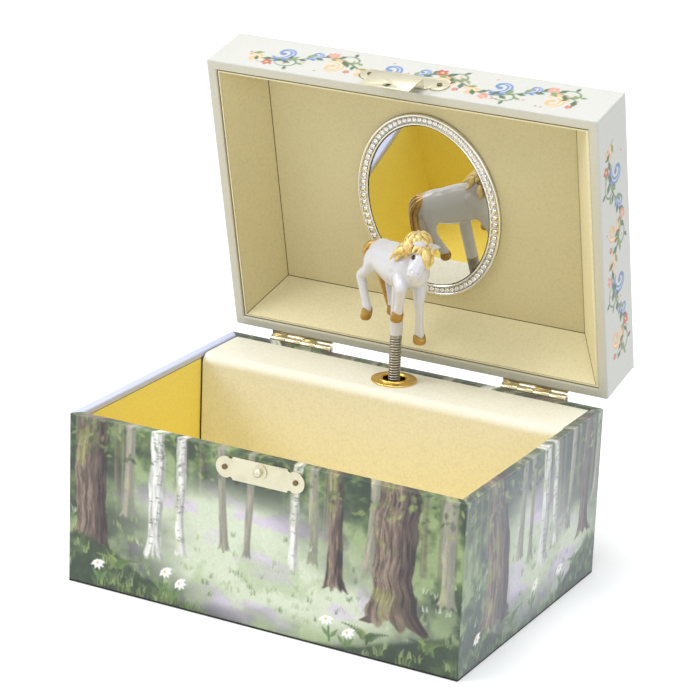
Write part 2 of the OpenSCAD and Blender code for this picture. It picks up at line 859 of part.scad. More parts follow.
// The wire that the shutting lid pushes down into the fan's path
module stop_wire() {
  color("silver") {
    translate([wire_x, wire_y, wire_arm_z]) cylinder(r = wire_r, h = wire_top - wire_arm_z - wire_r);
    translate([wire_x, wire_y, wire_top - wire_r]) sphere(r = wire_r);
    translate([wire_x, wire_y, wire_arm_z]) sphere(r = wire_r);
    rod_x([wire_x, wire_y, wire_arm_z], wire_r, worm_x - wire_x);
    translate([worm_x, wire_y, wire_arm_z]) sphere(r = wire_r);
    rod_y([worm_x, fan_front + fan_l / 2, wire_arm_z], wire_r, wire_y - fan_front - fan_l / 2);
  }
}

// ---------- figure ----------

// Close-wound spring, one ring for each turn
module figure_spring() {
  turns = floor((spring_high - spring_low) / spring_wire);
  pitch = (spring_high - spring_low - spring_wire) / (turns - 1);
  color("slategray") translate([0, spindle_y, spring_low + spring_wire / 2]) rotate_extrude()
    intersection() {
      union() {
        for (i = [0:turns - 1]) translate([coil_r, i * pitch]) circle(r = spring_wire / 2, $fn = 16);
        translate([coil_r - 0.1, 0]) square([0.2, (turns - 1) * pitch]);
      }
      translate([coil_r - spring_wire / 2, -spring_wire]) square([spring_wire, spring_high]);
    }
}

// Frame of the horse: X is its heading, Y its left side, Z is up from the cover
module horse_frame() {
  translate([0, spindle_y, cover_top]) rotate([0, 0, horse_turn - 90]) children();
}

peg_r = 2.3;
peg_top = 40;

module figure_peg() {
  color("white") translate([0, spindle_y, 0]) {
    translate([0, 0, spring_high]) cylinder(r = peg_r, h = cover_top + peg_top - spring_high);
    translate([0, 0, spring_high - 4]) cylinder(r = plug_r, h = 4.1);
  }
}

// Tapered limb from one ball to another
module limb(a, ra, b, rb) {
  hull() {
    translate(a) sphere(r = ra, $fn = 20);
    translate(b) sphere(r = rb, $fn = 20);
  }
}

// Shin from a ball down to a flat end that the hoof sits under
module shin(a, ra, b, rb) {
  hull() {
    translate(a) sphere(r = ra, $fn = 20);
    translate(b) cylinder(r = rb, h = 0.5, $fn = 20);
  }
}

// Ends of the shins: left fore, right fore, left hind, right hind
hooves = [[9, 4, 18.8], [7, -5.2, 28], [-9.8, 4.2, 25.6], [-13.4, -4.3, 22.9]];
hoof_r = 1.5;
hoof_h = 3.4;

module horse_form() {
  limb([-11, 0, 44.3], 6.4, [6.4, 0, 44.4], 7);
  limb([7.6, 0, 45], 5.6, [11, 1, 52.6], 3.6);
  limb([12, 1.3, 52.9], 3.5, [16.2, -3.9, 45.2], 2.2);
  limb([12.8, 2.4, 53], 1.3, [12.2, 8.2, 52.2], 0.5);
  limb([7.4, 3.4, 42], 3.8, [9.2, 3.2, 31], 1.9);
  shin([9.2, 3.2, 31], 1.9, hooves[0], hoof_r);
  limb([6.6, -3.8, 42], 3.8, [9.8, -5.6, 38.2], 2.3);
  shin([9.8, -5.6, 38.2], 2.2, hooves[1], hoof_r);
  limb([-11.4, 3.2, 42.6], 4.6, [-13.8, 4.3, 35.6], 2.2);
  shin([-13.8, 4.3, 35.6], 2.2, hooves[2], hoof_r);
  limb([-12, -3.4, 42.6], 4.6, [-16.8, -4.8, 35.6], 2.2);
  shin([-16.8, -4.8, 35.6], 2.2, hooves[3], hoof_r);
}

module horse_body() {
  color("white") horse_frame() difference() {
    horse_form();
    cylinder(r = peg_r + 0.05, h = peg_top);
  }
}

module horse_mane() {
  color("gold") horse_frame() difference() {
    union() {
      limb([12, -2.2, 54.4], 3, [11.2, 4.4, 54.4], 3.2);
      limb([10.8, 0.8, 56], 2.8, [7.4, 0.2, 53], 2.6);
      limb([8.8, -4, 52.4], 2.2, [6.8, -6.6, 49], 1.3);
      limb([12.4, 5.6, 51.8], 1.8, [14.2, 3.9, 47.4], 1.1);
    }
    horse_form();
  }
}

module horse_tail() {
  color("gold") horse_frame() difference() {
    union() {
      limb([-11, -0.6, 50], 1.3, [-16.6, -0.8, 46.8], 2.3);
      limb([-16.6, -0.8, 46.8], 2.3, [-18.4, 1.6, 40.4], 2.5);
      limb([-18.4, 1.6, 40.4], 2.5, [-17, 4.4, 32.4], 2.1);
      limb([-17, 4.4, 32.4], 2.1, [-14, 5.3, 22.6], 0.9);
    }
    horse_form();
    limb([-13.8, 4.3, 35.6], 2.3, hooves[2] - [0, 0, hoof_h], hoof_r + 0.7);
  }
}

module horse_hooves() {
  color("gold") horse_frame() for (p = hooves)
    translate(p - [0, 0, hoof_h]) cylinder(r1 = hoof_r + 0.5, r2 = hoof_r, h = hoof_h, $fn = 32);
}

// ---------- lid, in the shut position ----------

module lid_hinge_nail_places() {
  for (side = [-1, 1], end = [-1, 1])
    translate([side * hinge_x + end * hinge_nail_x, half_d + leaf_t, axis_z + hinge_nail_z])
      rotate([0, 0, 180]) children();
}

module lid_top_board() {
  color("tan") opened()
    slab(board_out_x, board_out_y, lid_inside, lid_top - paper_t);
}

module lid_front_board() {
  color("tan") opened() difference() {
    block([-board_out_x, -board_out_y, rim_z + paper_t], [board_out_x, -board_in_y, lid_inside]);
    catch_nail_places(latch_z) nail_hole();
  }
}

module lid_back_board() {
  color("tan") opened() difference() {
    block([-board_out_x, board_in_y, rim_z + paper_t], [board_out_x, board_out_y, lid_inside]);
    lid_hinge_nail_places() nail_hole();
  }
}

module lid_side_board(side) {
  x_in = side * board_in_x;
  x_out = side * board_out_x;
  color("tan") opened() block(
    [min(x_in, x_out), -board_in_y, rim_z + paper_t],
    [max(x_in, x_out), board_in_y, lid_inside]);
}

module lid_wrap() {
  color("ivory") opened() difference() {
    slab(half_w, half_d, rim_z, lid_top);
    difference() {
      slab(board_out_x, board_out_y, rim_z + paper_t, lid_top - paper_t);
      slab(board_in_x, board_in_y, 0, rim_z + paper_t + turn_in);
    }
    slab(well_x, well_y, 0, rim_z + paper_t + turn_in);
    slab(board_in_x, board_in_y, 0, rim_z + paper_t);
    catch_nail_places(latch_z) nail_hole();
    lid_hinge_nail_places() nail_hole();
  }
  color("ivory") opened() difference() {
    slab(board_in_x, board_in_y, rim_z, rim_z + paper_t + turn_in);
    slab(well_x, well_y, 0, lid_top);
  }
}

// Solid of the liner's tapered shape, set in from its outside
module liner_form(inset, low, high) {
  slope = liner_lean / (lid_inside - liner_start);
  hull() for (z = [low, high]) {
    lean = slope * (z - liner_start) + inset + 0.1;
    slab(well_x - lean, well_y - lean, z, z + eps);
  }
}

module lid_liner() {
  color("palegoldenrod") opened() difference() {
    liner_form(0, liner_start, lid_inside - eps);
    liner_form(liner_t, liner_start - 1, liner_face - eps);
  }
}

// Oval prism that stands off the liner towards the case
module oval(half_x, half_y, low, high) {
  steps = 64;
  translate([0, 0, low]) linear_extrude(high - low) polygon(
    [for (i = [0:steps - 1]) [half_x * cos(i * 360 / steps), half_y * sin(i * 360 / steps)]]);
}

module mirror_frame() {
  color("silver") opened() difference() {
    oval(mirror_w / 2, mirror_l / 2, mirror_face, liner_face);
    oval(mirror_w / 2 - mirror_band, mirror_l / 2 - mirror_band, mirror_face - 1, lid_top);
  }
}

module mirror_glass() {
  color("lightsteelblue") opened()
    oval(mirror_w / 2 - mirror_band - 0.05, mirror_l / 2 - mirror_band - 0.05,
      liner_face - glass_t, liner_face);
}

module lid_hinge_leaves() {
  color("gold") opened() difference() {
    for (side = [-1, 1]) hinge_leaf(side, 0, 1);
    lid_hinge_nail_places() translate([0, -1, 0]) nail_hole();
  }
}

module lid_hinge_nails() {
  color("gold") opened() lid_hinge_nail_places() nail();
}

module latch_plate() {
  shelf = latch_z - catch_h / 2;
  color("gold") opened() difference() {
    union() {
      plate(latch_z);
      block([-lip_w / 2, lip_y - lip_t, shelf], [lip_w / 2, -half_d, shelf + lip_t]);
      block([-lip_w / 2, lip_y - lip_t, knob_z - 2.2], [lip_w / 2, lip_y, shelf + lip_t]);
    }
    catch_nail_places(latch_z) nail_hole();
    rod_y([0, lip_y - 1, knob_z], 1.5, 2);
  }
}

module latch_nails() {
  color("gold") opened() catch_nail_places(latch_z) nail();
}

floor_board();
front_board();
back_board();
side_board(-1);  // left_board
side_board(1);  // right_board
base_wrap();
base_lining();
bottom_sheet();
movement_cover();
cover_ledges();
grommet();
base_hinge_leaves();
hinge_pins();
base_hinge_nails();
catch_plate();
catch_knob();
catch_nails();
bedplate();
movement_screws();
spring_housing();
mainspring();
comb();
comb_screws();
lower_bridge();
upper_bridge();
governor_bracket();
winding_arbor();
great_wheel();
winding_key();
tune_cylinder();
cylinder_arbor();
cylinder_pinion();
cylinder_gear();
spring_collar();
governor_arbor();
governor_wheel();
worm_shaft();
fan();
stop_wire();
figure_spring();
figure_peg();
horse_body();
horse_mane();
horse_tail();
horse_hooves();
lid_top_board();
lid_front_board();
lid_back_board();
lid_side_board(-1);  // lid_left_board
lid_side_board(1);  // lid_right_board
lid_wrap();
lid_liner();
mirror_frame();
mirror_glass();
lid_hinge_leaves();
lid_hinge_nails();
latch_plate();
latch_nails();
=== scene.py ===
"""Looks of a musical jewellery box: papers, cards, brass, an oval mirror and a prancing horse."""

import json

import bmesh
import bpy
import numpy as np
from mathutils import Matrix, Vector


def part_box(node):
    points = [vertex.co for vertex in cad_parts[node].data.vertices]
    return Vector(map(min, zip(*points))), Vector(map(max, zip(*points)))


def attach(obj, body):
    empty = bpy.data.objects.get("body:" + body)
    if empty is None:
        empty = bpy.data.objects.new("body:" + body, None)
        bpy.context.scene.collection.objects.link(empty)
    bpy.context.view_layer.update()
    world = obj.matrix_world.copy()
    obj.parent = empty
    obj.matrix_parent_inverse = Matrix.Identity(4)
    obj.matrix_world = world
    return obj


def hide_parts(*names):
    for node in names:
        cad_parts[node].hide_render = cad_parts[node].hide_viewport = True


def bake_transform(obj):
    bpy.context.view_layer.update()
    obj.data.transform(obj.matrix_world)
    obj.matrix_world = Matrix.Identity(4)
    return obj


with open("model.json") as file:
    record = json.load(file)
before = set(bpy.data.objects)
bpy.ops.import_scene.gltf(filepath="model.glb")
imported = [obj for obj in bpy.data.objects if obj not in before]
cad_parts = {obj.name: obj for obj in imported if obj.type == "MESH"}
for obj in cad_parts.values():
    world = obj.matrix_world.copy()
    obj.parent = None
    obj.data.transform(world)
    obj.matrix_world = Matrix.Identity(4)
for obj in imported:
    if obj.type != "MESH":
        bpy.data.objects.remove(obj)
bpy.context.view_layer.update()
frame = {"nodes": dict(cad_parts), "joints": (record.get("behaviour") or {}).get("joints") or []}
nodes = frame["nodes"]
joints = {j["name"]: j for j in frame["joints"]}
MM = 0.001


def node_box(name):
    """Lowest and highest corner of a frame node, in millimetres."""
    low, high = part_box(name)
    return np.array(low) / MM, np.array(high) / MM


# ---------- places and sizes, in millimetres ----------

wrap_low, wrap_high = node_box("base_wrap")
WIDTH, DEPTH = (wrap_high - wrap_low)[:2]
CASE_LOW, CASE_TOP = wrap_low[2], wrap_high[2]
BOARD = node_box("left_board")[1][0] - node_box("left_board")[0][0]
PAPER = WIDTH / 2 - node_box("front_board")[1][0]
TURN_IN = 2.0
RIM = BOARD + 2 * PAPER
HINGE = np.array(joints["lid_hinge"]["pos_m"]) / MM
LID_OPEN = np.radians(joints["lid_hinge"]["range_deg"][0])
SPINDLE = np.array(joints["figure_turn"]["pos_m"])[:2] / MM
COVER_TOP = node_box("movement_cover")[1][2]
HORSE_TURN = np.radians(60.7 - 90)
LID_HEIGHT = 23.2
RIM_GAP = 0.3
LID_LOW = CASE_TOP + RIM_GAP
LID_TOP = LID_LOW + LID_HEIGHT

# ---------- shader nodes ----------


def fresh_tree(owner):
    """Empty node tree of a world or a material, with its output node."""
    owner.use_nodes = True
    owner.node_tree.nodes.clear()
    kind = "World" if isinstance(owner, bpy.types.World) else "Material"
    return owner.node_tree, owner.node_tree.nodes.new("ShaderNodeOutput" + kind)


def math_node(tree, operation, a, b):
    """Math node of two sockets or numbers."""
    node = tree.nodes.new("ShaderNodeMath")
    node.operation = operation
    for i, value in enumerate((a, b)):
        if isinstance(value, (int, float)):
            node.inputs[i].default_value = value
        else:
            tree.links.new(value, node.inputs[i])
    return node.outputs[0]


def mix_colour(tree, factor, a, b, mode="MIX"):
    """Colour mix of two sockets or colours."""
    node = tree.nodes.new("ShaderNodeMix")
    node.data_type, node.blend_type = "RGBA", mode
    for label, value in (("Factor", factor), ("A", a), ("B", b)):
        sockets = [s for s in node.inputs if s.name == label and s.enabled]
        if isinstance(value, bpy.types.NodeSocket):
            tree.links.new(value, sockets[0])
        elif label == "Factor":
            sockets[0].default_value = value
        else:
            sockets[0].default_value = (*value, 1)
    return [s for s in node.outputs if s.enabled][0]


def noise_node(tree, scale, detail, source, rough=0.5):
    """Noise texture on object coordinates, scale in features per metre or a socket."""
    node = tree.nodes.new("ShaderNodeTexNoise")
    node.inputs["Detail"].default_value = detail
    node.inputs["Roughness"].default_value = rough
    if isinstance(scale, (int, float)):
        node.inputs["Scale"].default_value = scale
    else:
        tree.links.new(scale, node.inputs["Scale"])
    tree.links.new(source, node.inputs["Vector"])
    return node.outputs[0]


def ramp_node(tree, value, low, high):
    """Straight ramp from 0 at low to 1 at high."""
    node = tree.nodes.new("ShaderNodeMapRange")
    node.inputs["From Min"].default_value = low
    node.inputs["From Max"].default_value = high
    tree.links.new(value, node.inputs["Value"])
    return node.outputs[0]


# ---------- camera, light and floor ----------

AZIMUTH, ELEVATION, ROLL = np.radians([27.706, 18.578, 2.272])
CAMERA_AT = (0.4280, -0.80946, 0.39238)
LENS = 144.1
# Each lamp's name, place, size, power and colour; all of them face the middle of the open box
LAMPS = [
    ("key light", (-1.25, -0.85, 1.25), 0.9, 14.5, (1, 0.98, 0.96)),
    ("fill light", (1.3, -0.9, 0.8), 1.0, 4.2, (0.95, 0.98, 1)),
    ("top light", (-0.05, -0.1, 1.6), 1.0, 16.4, (1, 1, 1)),
    ("back light", (0.3, 1.4, 0.9), 0.8, 6, (1, 1, 1)),
]
LAMP_AIM = (0, 0, 0.06)
SOFT_SKY = (0.93, 0.96, 1, 1), 0.55
WHITE_SKY = (1, 1, 1, 1), 1.0
FLOOR_REACH = 3.0
FLOOR_COLOUR = (0.9, 0.9, 0.9, 1)
FLOOR_LIFT = 0.11


def add_camera():
    """Camera at the given place, turned by azimuth and elevation, then rolled about its own axis."""
    sa, ca, se, ce = np.sin(AZIMUTH), np.cos(AZIMUTH), np.sin(ELEVATION), np.cos(ELEVATION)
    back = np.array([sa * ce, -ca * ce, se])
    right = np.array([ca, sa, 0])
    up = np.cross(back, right)
    right, up = (
        np.cos(ROLL) * right + np.sin(ROLL) * up,
        np.cos(ROLL) * up - np.sin(ROLL) * right,
    )
    data = bpy.data.cameras.new("camera")
    data.lens = LENS
    data.clip_start, data.clip_end = 0.01, 20
    camera = bpy.data.objects.new("camera", data)
    turn = np.eye(4)
    turn[:3, 0], turn[:3, 1], turn[:3, 2], turn[:3, 3] = right, up, back, CAMERA_AT
    camera.matrix_world = Matrix(turn.tolist())
    bpy.context.collection.objects.link(camera)
    bpy.context.scene.camera = camera


def add_lamp(name, at, size, power, colour):
    """Square soft lamp at a place."""
    data = bpy.data.lights.new(name, "AREA")
    data.size, data.energy, data.color = size, power, colour
    lamp = bpy.data.objects.new(name, data)
    lamp.location = at
    lamp.rotation_euler = (Vector(at) - Vector(LAMP_AIM)).to_track_quat("Z", "Y").to_euler()
    bpy.context.collection.objects.link(lamp)


def seen_directly(tree):
    """1 for rays that show the backdrop itself, from the camera, off gloss or through glass; 0 for others."""
    ray = tree.nodes.new("ShaderNodeLightPath").outputs
    seen = math_node(tree, "MAXIMUM", ray["Is Camera Ray"], ray["Is Glossy Ray"])
    return math_node(tree, "MAXIMUM", seen, ray["Is Transmission Ray"])


def add_world():
    """Even grey studio light that looks white to the camera, in metal and through glass."""
    world = bpy.data.worlds.new("studio")
    bpy.context.scene.world = world
    tree, out = fresh_tree(world)
    mix = tree.nodes.new("ShaderNodeMixShader")
    tree.links.new(seen_directly(tree), mix.inputs["Fac"])
    for slot, (colour, strength) in enumerate((SOFT_SKY, WHITE_SKY), 1):
        sky = tree.nodes.new("ShaderNodeBackground")
        sky.inputs["Color"].default_value = colour
        sky.inputs["Strength"].default_value = strength
        tree.links.new(sky.outputs[0], mix.inputs[slot])
    tree.links.new(mix.outputs[0], out.inputs["Surface"])


def add_floor():
    """Pale floor that keeps the shadow and is lifted to white where it is seen directly."""
    mesh = bpy.data.meshes.new("floor")
    corners = [(x * FLOOR_REACH, y * FLOOR_REACH, 0) for x, y in ((-1, -1), (1, -1), (1, 1), (-1, 1))]
    mesh.from_pydata(corners, [], [(0, 1, 2, 3)])
    floor = bpy.data.objects.new("floor", mesh)
    bpy.context.collection.objects.link(floor)
    pale = bpy.data.materials.new("pale floor")
    tree, out = fresh_tree(pale)
    matt = tree.nodes.new("ShaderNodeBsdfDiffuse")
    matt.inputs["Color"].default_value = FLOOR_COLOUR
    glow = tree.nodes.new("ShaderNodeEmission")
    add = tree.nodes.new("ShaderNodeAddShader")
    tree.links.new(math_node(tree, "MULTIPLY", seen_directly(tree), FLOOR_LIFT), glow.inputs["Strength"])
    tree.links.new(matt.outputs[0], add.inputs[0])
    tree.links.new(glow.outputs[0], add.inputs[1])
    tree.links.new(add.outputs[0], out.inputs["Surface"])
    mesh.materials.append(pale)


add_camera()
add_world()
add_floor()
for lamp in LAMPS:
    add_lamp(*lamp)
bpy.context.scene.view_settings.view_transform = "Standard"

# ---------- colours ----------


def paint(red, green, blue):
    """Linear colour from 0 to 255 display values."""
    c = np.array([red, green, blue]) / 255
    return np.where(c <= 0.04045, c / 12.92, ((c + 0.055) / 1.055) ** 2.4)


IVORY = paint(200, 200, 193)
CREAM = paint(240, 237, 220)
GOLDEN = paint(253, 233, 118)

# ---------- shader groups ----------


def new_group(name, inputs, outputs):
    """Shader node group with named inputs (name, kind, value) and outputs (name, kind)."""
    group = bpy.data.node_groups.new(name, "ShaderNodeTree")
    for label, kind, value in inputs:
        socket = group.interface.new_socket(label, in_out="INPUT", socket_type=kind)
        socket.default_value = value
    for label, kind in outputs:
        group.interface.new_socket(label, in_out="OUTPUT", socket_type=kind)
    return group, group.nodes.new("NodeGroupInput"), group.nodes.new("NodeGroupOutput")


def grain_group():
    """Fine embossed grain of covering papers and paints: pebbles from cell distance, broad soft patches."""
    group, given, made = new_group(
        "embossed grain",
        [("Colour", "NodeSocketColor", (1, 1, 1, 1)), ("Pebble Scale", "NodeSocketFloat", 1400.0),
         ("Shade", "NodeSocketFloat", 0.06), ("Roughness", "NodeSocketFloat", 0.5)],
        [("Colour", "NodeSocketColor"), ("Roughness", "NodeSocketFloat"), ("Height", "NodeSocketFloat")],
    )
    where = group.nodes.new("ShaderNodeTexCoord").outputs["Object"]
    cells = group.nodes.new("ShaderNodeTexVoronoi")
    cells.feature = "SMOOTH_F1"
    group.links.new(where, cells.inputs["Vector"])
    group.links.new(given.outputs["Pebble Scale"], cells.inputs["Scale"])
    fine = noise_node(group, math_node(group, "MULTIPLY", given.outputs["Pebble Scale"], 1.7), 3, where)
    broad = noise_node(group, 26.0, 3, where)
    height = math_node(group, "ADD", math_node(group, "MULTIPLY", cells.outputs["Distance"], -0.7), fine)
    shade = math_node(group, "MULTIPLY", ramp_node(group, height, 0.35, -0.1), given.outputs["Shade"])
    darker = mix_colour(group, shade, given.outputs["Colour"], (0.1, 0.08, 0.05))
    patch = math_node(group, "MULTIPLY", ramp_node(group, broad, 0.3, 0.75), 0.05)
    toned = mix_colour(group, patch, darker, (0.55, 0.45, 0.28), "MULTIPLY")
    group.links.new(toned, made.inputs["Colour"])
    spread = math_node(group, "MULTIPLY", math_node(group, "SUBTRACT", fine, 0.5), 0.18)
    group.links.new(math_node(group, "ADD", spread, given.outputs["Roughness"]), made.inputs["Roughness"])
    group.links.new(height, made.inputs["Height"])
    return group


def metal_group():
    """Handled bright metal: faint cloudy tarnish, fine scratches along one way, darker in the hollows."""
    group, given, made = new_group(
        "handled metal",
        [("Colour", "NodeSocketColor", (1, 1, 1, 1)), ("Tarnish", "NodeSocketColor", (0.2, 0.12, 0.04, 1)),
         ("Tarnish Amount", "NodeSocketFloat", 0.35), ("Roughness", "NodeSocketFloat", 0.2),
         ("Wear", "NodeSocketFloat", 0.16)],
        [("Colour", "NodeSocketColor"), ("Roughness", "NodeSocketFloat"), ("Height", "NodeSocketFloat")],
    )
    where = group.nodes.new("ShaderNodeTexCoord").outputs["Object"]
    cloud = noise_node(group, 190.0, 4, where, 0.6)
    stretch = group.nodes.new("ShaderNodeMapping")
    stretch.inputs["Scale"].default_value = (260, 2600, 2600)
    group.links.new(where, stretch.inputs["Vector"])
    scratch = noise_node(group, 1.0, 3, stretch.outputs[0])
    hollow = group.nodes.new("ShaderNodeNewGeometry").outputs["Pointiness"]
    dirt = ramp_node(group, hollow, 0.5, 0.42)
    veil = math_node(group, "MULTIPLY", ramp_node(group, cloud, 0.45, 0.8), 0.6)
    cover = math_node(group, "ADD", veil, dirt)
    amount = math_node(group, "MULTIPLY", cover, given.outputs["Tarnish Amount"])
    tone = mix_colour(group, amount, given.outputs["Colour"], given.outputs["Tarnish"])
    group.links.new(tone, made.inputs["Colour"])
    worn = math_node(group, "MULTIPLY", scratch, given.outputs["Wear"])
    rough = math_node(group, "ADD", worn, given.outputs["Roughness"])
    group.links.new(math_node(group, "ADD", rough, math_node(group, "MULTIPLY", amount, 0.25)),
                    made.inputs["Roughness"])
    group.links.new(scratch, made.inputs["Height"])
    return group


GRAIN, METAL = grain_group(), metal_group()
GRAIN_DEPTH = 0.06 * MM
SCRATCH_DEPTH = 0.01 * MM


def finish_with(name, group, values, bump, depth, attribute, **shader):
    """Material whose Principled shader is fed by a group. Its colour may come from a painted attribute."""
    made = bpy.data.materials.new(name)
    made.use_nodes = True
    tree = made.node_tree
    skin = tree.nodes["Principled BSDF"]
    for label, value in shader.items():
        skin.inputs[label.replace("_", " ")].default_value = value
    node = tree.nodes.new("ShaderNodeGroup")
    node.node_tree = group
    for label, value in values.items():
        node.inputs[label].default_value = (*value, 1) if hasattr(value, "__len__") else value
    if attribute:
        painted = tree.nodes.new("ShaderNodeAttribute")
        painted.attribute_name = attribute
        tree.links.new(painted.outputs["Color"], node.inputs["Colour"])
    tree.links.new(node.outputs["Colour"], skin.inputs["Base Color"])
    tree.links.new(node.outputs["Roughness"], skin.inputs["Roughness"])
    if bump:
        relief = tree.nodes.new("ShaderNodeBump")
        relief.inputs["Strength"].default_value = bump
        relief.inputs["Distance"].default_value = depth
        tree.links.new(node.outputs["Height"], relief.inputs["Height"])
        tree.links.new(relief.outputs[0], skin.inputs["Normal"])
    return made


def embossed(name, colour, scale, shade, rough, bump, attribute=None, **shader):
    """Paper, card, wood, resin or paint with an embossed grain."""
    values = {"Colour": colour, "Pebble Scale": scale, "Shade": shade, "Roughness": rough}
    return finish_with(name, GRAIN, values, bump, GRAIN_DEPTH, attribute, **shader)


def metal(name, colour, tarnish, amount, rough, bump=0.1, metallic=1.0, wear=0.16):
    """Metal or metallic paint with tarnish and scratches."""
    values = {"Colour": colour, "Tarnish": tarnish, "Tarnish Amount": amount, "Roughness": rough,
              "Wear": wear}
    return finish_with(name, METAL, values, bump, SCRATCH_DEPTH, None, Metallic=metallic)


woodland_paper = embossed("woodland paper", IVORY, 1500.0, 0.1, 0.34, 0.22, "paint")
vine_paper = embossed("vine paper", IVORY, 1500.0, 0.07, 0.36, 0.22, "paint")
well_paper = embossed("golden lining paper", GOLDEN, 1500.0, 0.12, 0.5, 0.4)
cream_card = embossed("cream card", CREAM, 1100.0, 0.1, 0.6, 0.6)
liner_card = embossed("liner card", paint(213, 202, 157), 1100.0, 0.1, 0.6, 0.5)
# Painted light: a paler copy of the liner card, for the cards that face up or to the left and for the lip
liner_painted_lit = embossed("liner card painted lit", paint(236, 226, 184), 1100.0, 0.1, 0.6, 0.5)
crease_shade = embossed("crease shade", paint(112, 98, 62), 900.0, 0.2, 0.8, 0.3)
board_wood = embossed("fibreboard", paint(158, 128, 92), 700.0, 0.3, 0.8, 0.5)
black_card = embossed("black card", paint(30, 30, 32), 900.0, 0.3, 0.7, 0.4)
brass = metal("bright brass", paint(232, 205, 140), (0.25, 0.15, 0.05), 0.35, 0.12)
pale_brass = metal("pale brass", paint(212, 207, 182), (0.3, 0.2, 0.08), 0.4, 0.3)
# Painted shade: the nail heads sit in shadow, so their brass is set dark
nail_brass_painted_shade = metal("nail brass painted shaded", paint(120, 104, 76), (0.08, 0.05, 0.02), 0.6, 0.2)
gold_ring = metal("gold ring", paint(234, 199, 112), (0.3, 0.14, 0.03), 0.3, 0.1)
nickel = metal("hinge nickel", paint(206, 194, 158), (0.16, 0.1, 0.05), 0.6, 0.15)
steel = metal("steel", paint(180, 180, 184), (0.1, 0.09, 0.08), 0.3, 0.24)
spring_wire = metal("spring wire", paint(172, 168, 158), (0.12, 0.1, 0.08), 0.5, 0.26)
cast_frame = metal("cast frame", paint(170, 172, 176), (0.2, 0.2, 0.2), 0.3, 0.45, 0.4)
silvered = metal("silvered frame", paint(240, 240, 238), (0.05, 0.045, 0.03), 0.2, 0.1, 0.0, 1.0, 0.04)
mirror_face = metal("mirror glass", paint(226, 226, 222), (0.6, 0.6, 0.6), 0, 0.0, 0, 1.0, 0.004)
# One gold paint in three copies: the mane's is paler as painted light on the lit crown, the hooves' and the
# tail's darker as painted shade
hoof_gold_painted_shade = metal("gold paint", paint(192, 156, 84), (0.2, 0.09, 0.02), 0.75, 0.28, 0.3, 0.6)
mane_gold_painted_lit = embossed("gold paint painted lit", paint(250, 221, 142), 900.0, 0.25, 0.3, 0.3, "paint",
                     Metallic=0.3)
tail_gold_painted_shade = embossed("gold paint painted shaded", paint(206, 160, 88), 900.0, 0.3, 0.3, 0.3, "paint",
                     Metallic=0.4)
white_resin = embossed("white resin", paint(215, 216, 223), 600.0, 0.02, 0.2, 0.03,
                       Coat_Weight=0.3, Coat_Roughness=0.12)
nylon = embossed("white nylon", paint(232, 232, 226), 900.0, 0.04, 0.42, 0.1)
eye_paint = embossed("eye paint", paint(22, 18, 16), 900.0, 0.1, 0.12, 0.0)

# ---------- mesh helpers ----------

FLAT_ANGLE = np.radians(0.5)
BEVEL_ANGLE = np.radians(35)
SHARP_ANGLE = np.radians(40)


def grid_faces(rows, columns, wrap_rows=False, wrap_columns=False):
    """Quads of a grid of rows x columns points, closed on itself where asked."""
    r = np.arange(rows if wrap_rows else rows - 1)
    c = np.arange(columns if wrap_columns else columns - 1)
    r0, c0 = np.meshgrid(r, c, indexing="ij")
    r1, c1 = (r0 + 1) % rows, (c0 + 1) % columns
    quads = np.stack([r0 * columns + c0, r0 * columns + c1, r1 * columns + c1, r1 * columns + c0], -1)
    return quads.reshape(-1, 4)


def mesh_piece(name, points, faces, material, extra=(), colours=None, smooth=True):
    """Mesh object of millimetre points, quads, and extra many-sided faces; colours are per point."""
    mesh = bpy.data.meshes.new(name)
    points = np.asarray(points, float).reshape(-1, 3) * MM
    mesh.from_pydata(points.tolist(), [], np.asarray(faces).tolist() + [list(f) for f in extra])
    mesh.update()
    mesh.polygons.foreach_set("use_smooth", np.full(len(mesh.polygons), smooth))
    if colours is not None:
        layer = mesh.color_attributes.new("paint", "FLOAT_COLOR", "POINT")
        flat = np.ones((len(points), 4), np.float32)
        flat[:, :3] = np.clip(np.asarray(colours).reshape(-1, 3), 0, 1)
        layer.data.foreach_set("color", flat.ravel())
    mesh.materials.append(material)
    piece = bpy.data.objects.new(name, mesh)
    bpy.context.collection.objects.link(piece)
    return piece


def opened(points):
    """Points of the shut lid, turned about the hinge to where it stands open."""
    p = np.asarray(points, float).reshape(-1, 3) - HINGE
    s, c = np.sin(LID_OPEN), np.cos(LID_OPEN)
    y, z = p[:, 1] * c - p[:, 2] * s, p[:, 1] * s + p[:, 2] * c
    return np.stack([p[:, 0], y, z], 1) + HINGE


def joined(name, pieces):
    """One piece made of several, with their material slots."""
    bpy.ops.object.select_all(action="DESELECT")
    for piece in pieces:
        piece.select_set(True)
    bpy.context.view_layer.objects.active = pieces[0]
    bpy.ops.object.join()
    pieces[0].name = pieces[0].data.name = name
    return pieces[0]


def apply_modifier(piece, kind, **settings):
    """Adds a modifier, applies it at once and leaves the result in the mesh."""
    modifier = piece.modifiers.new(kind.lower(), kind)
    for label, value in settings.items():
        setattr(modifier, label, value)
    bpy.context.view_layer.objects.active = piece
    bpy.ops.object.modifier_apply(modifier=modifier.name)


def sealed(piece, flat_angle=0.0):
    """Merges a piece's doubles, melts faces together up to an angle, and turns all faces outwards."""
    bpy.ops.object.select_all(action="DESELECT")
    bpy.context.view_layer.objects.active = piece
    piece.select_set(True)
    bpy.ops.object.mode_set(mode="EDIT")
    bpy.ops.mesh.select_all(action="SELECT")
    bpy.ops.mesh.remove_doubles(threshold=1e-6)
    if flat_angle:
        bpy.ops.mesh.dissolve_limited(angle_limit=flat_angle)
    bpy.ops.mesh.normals_make_consistent(inside=False)
    bpy.ops.object.mode_set(mode="OBJECT")


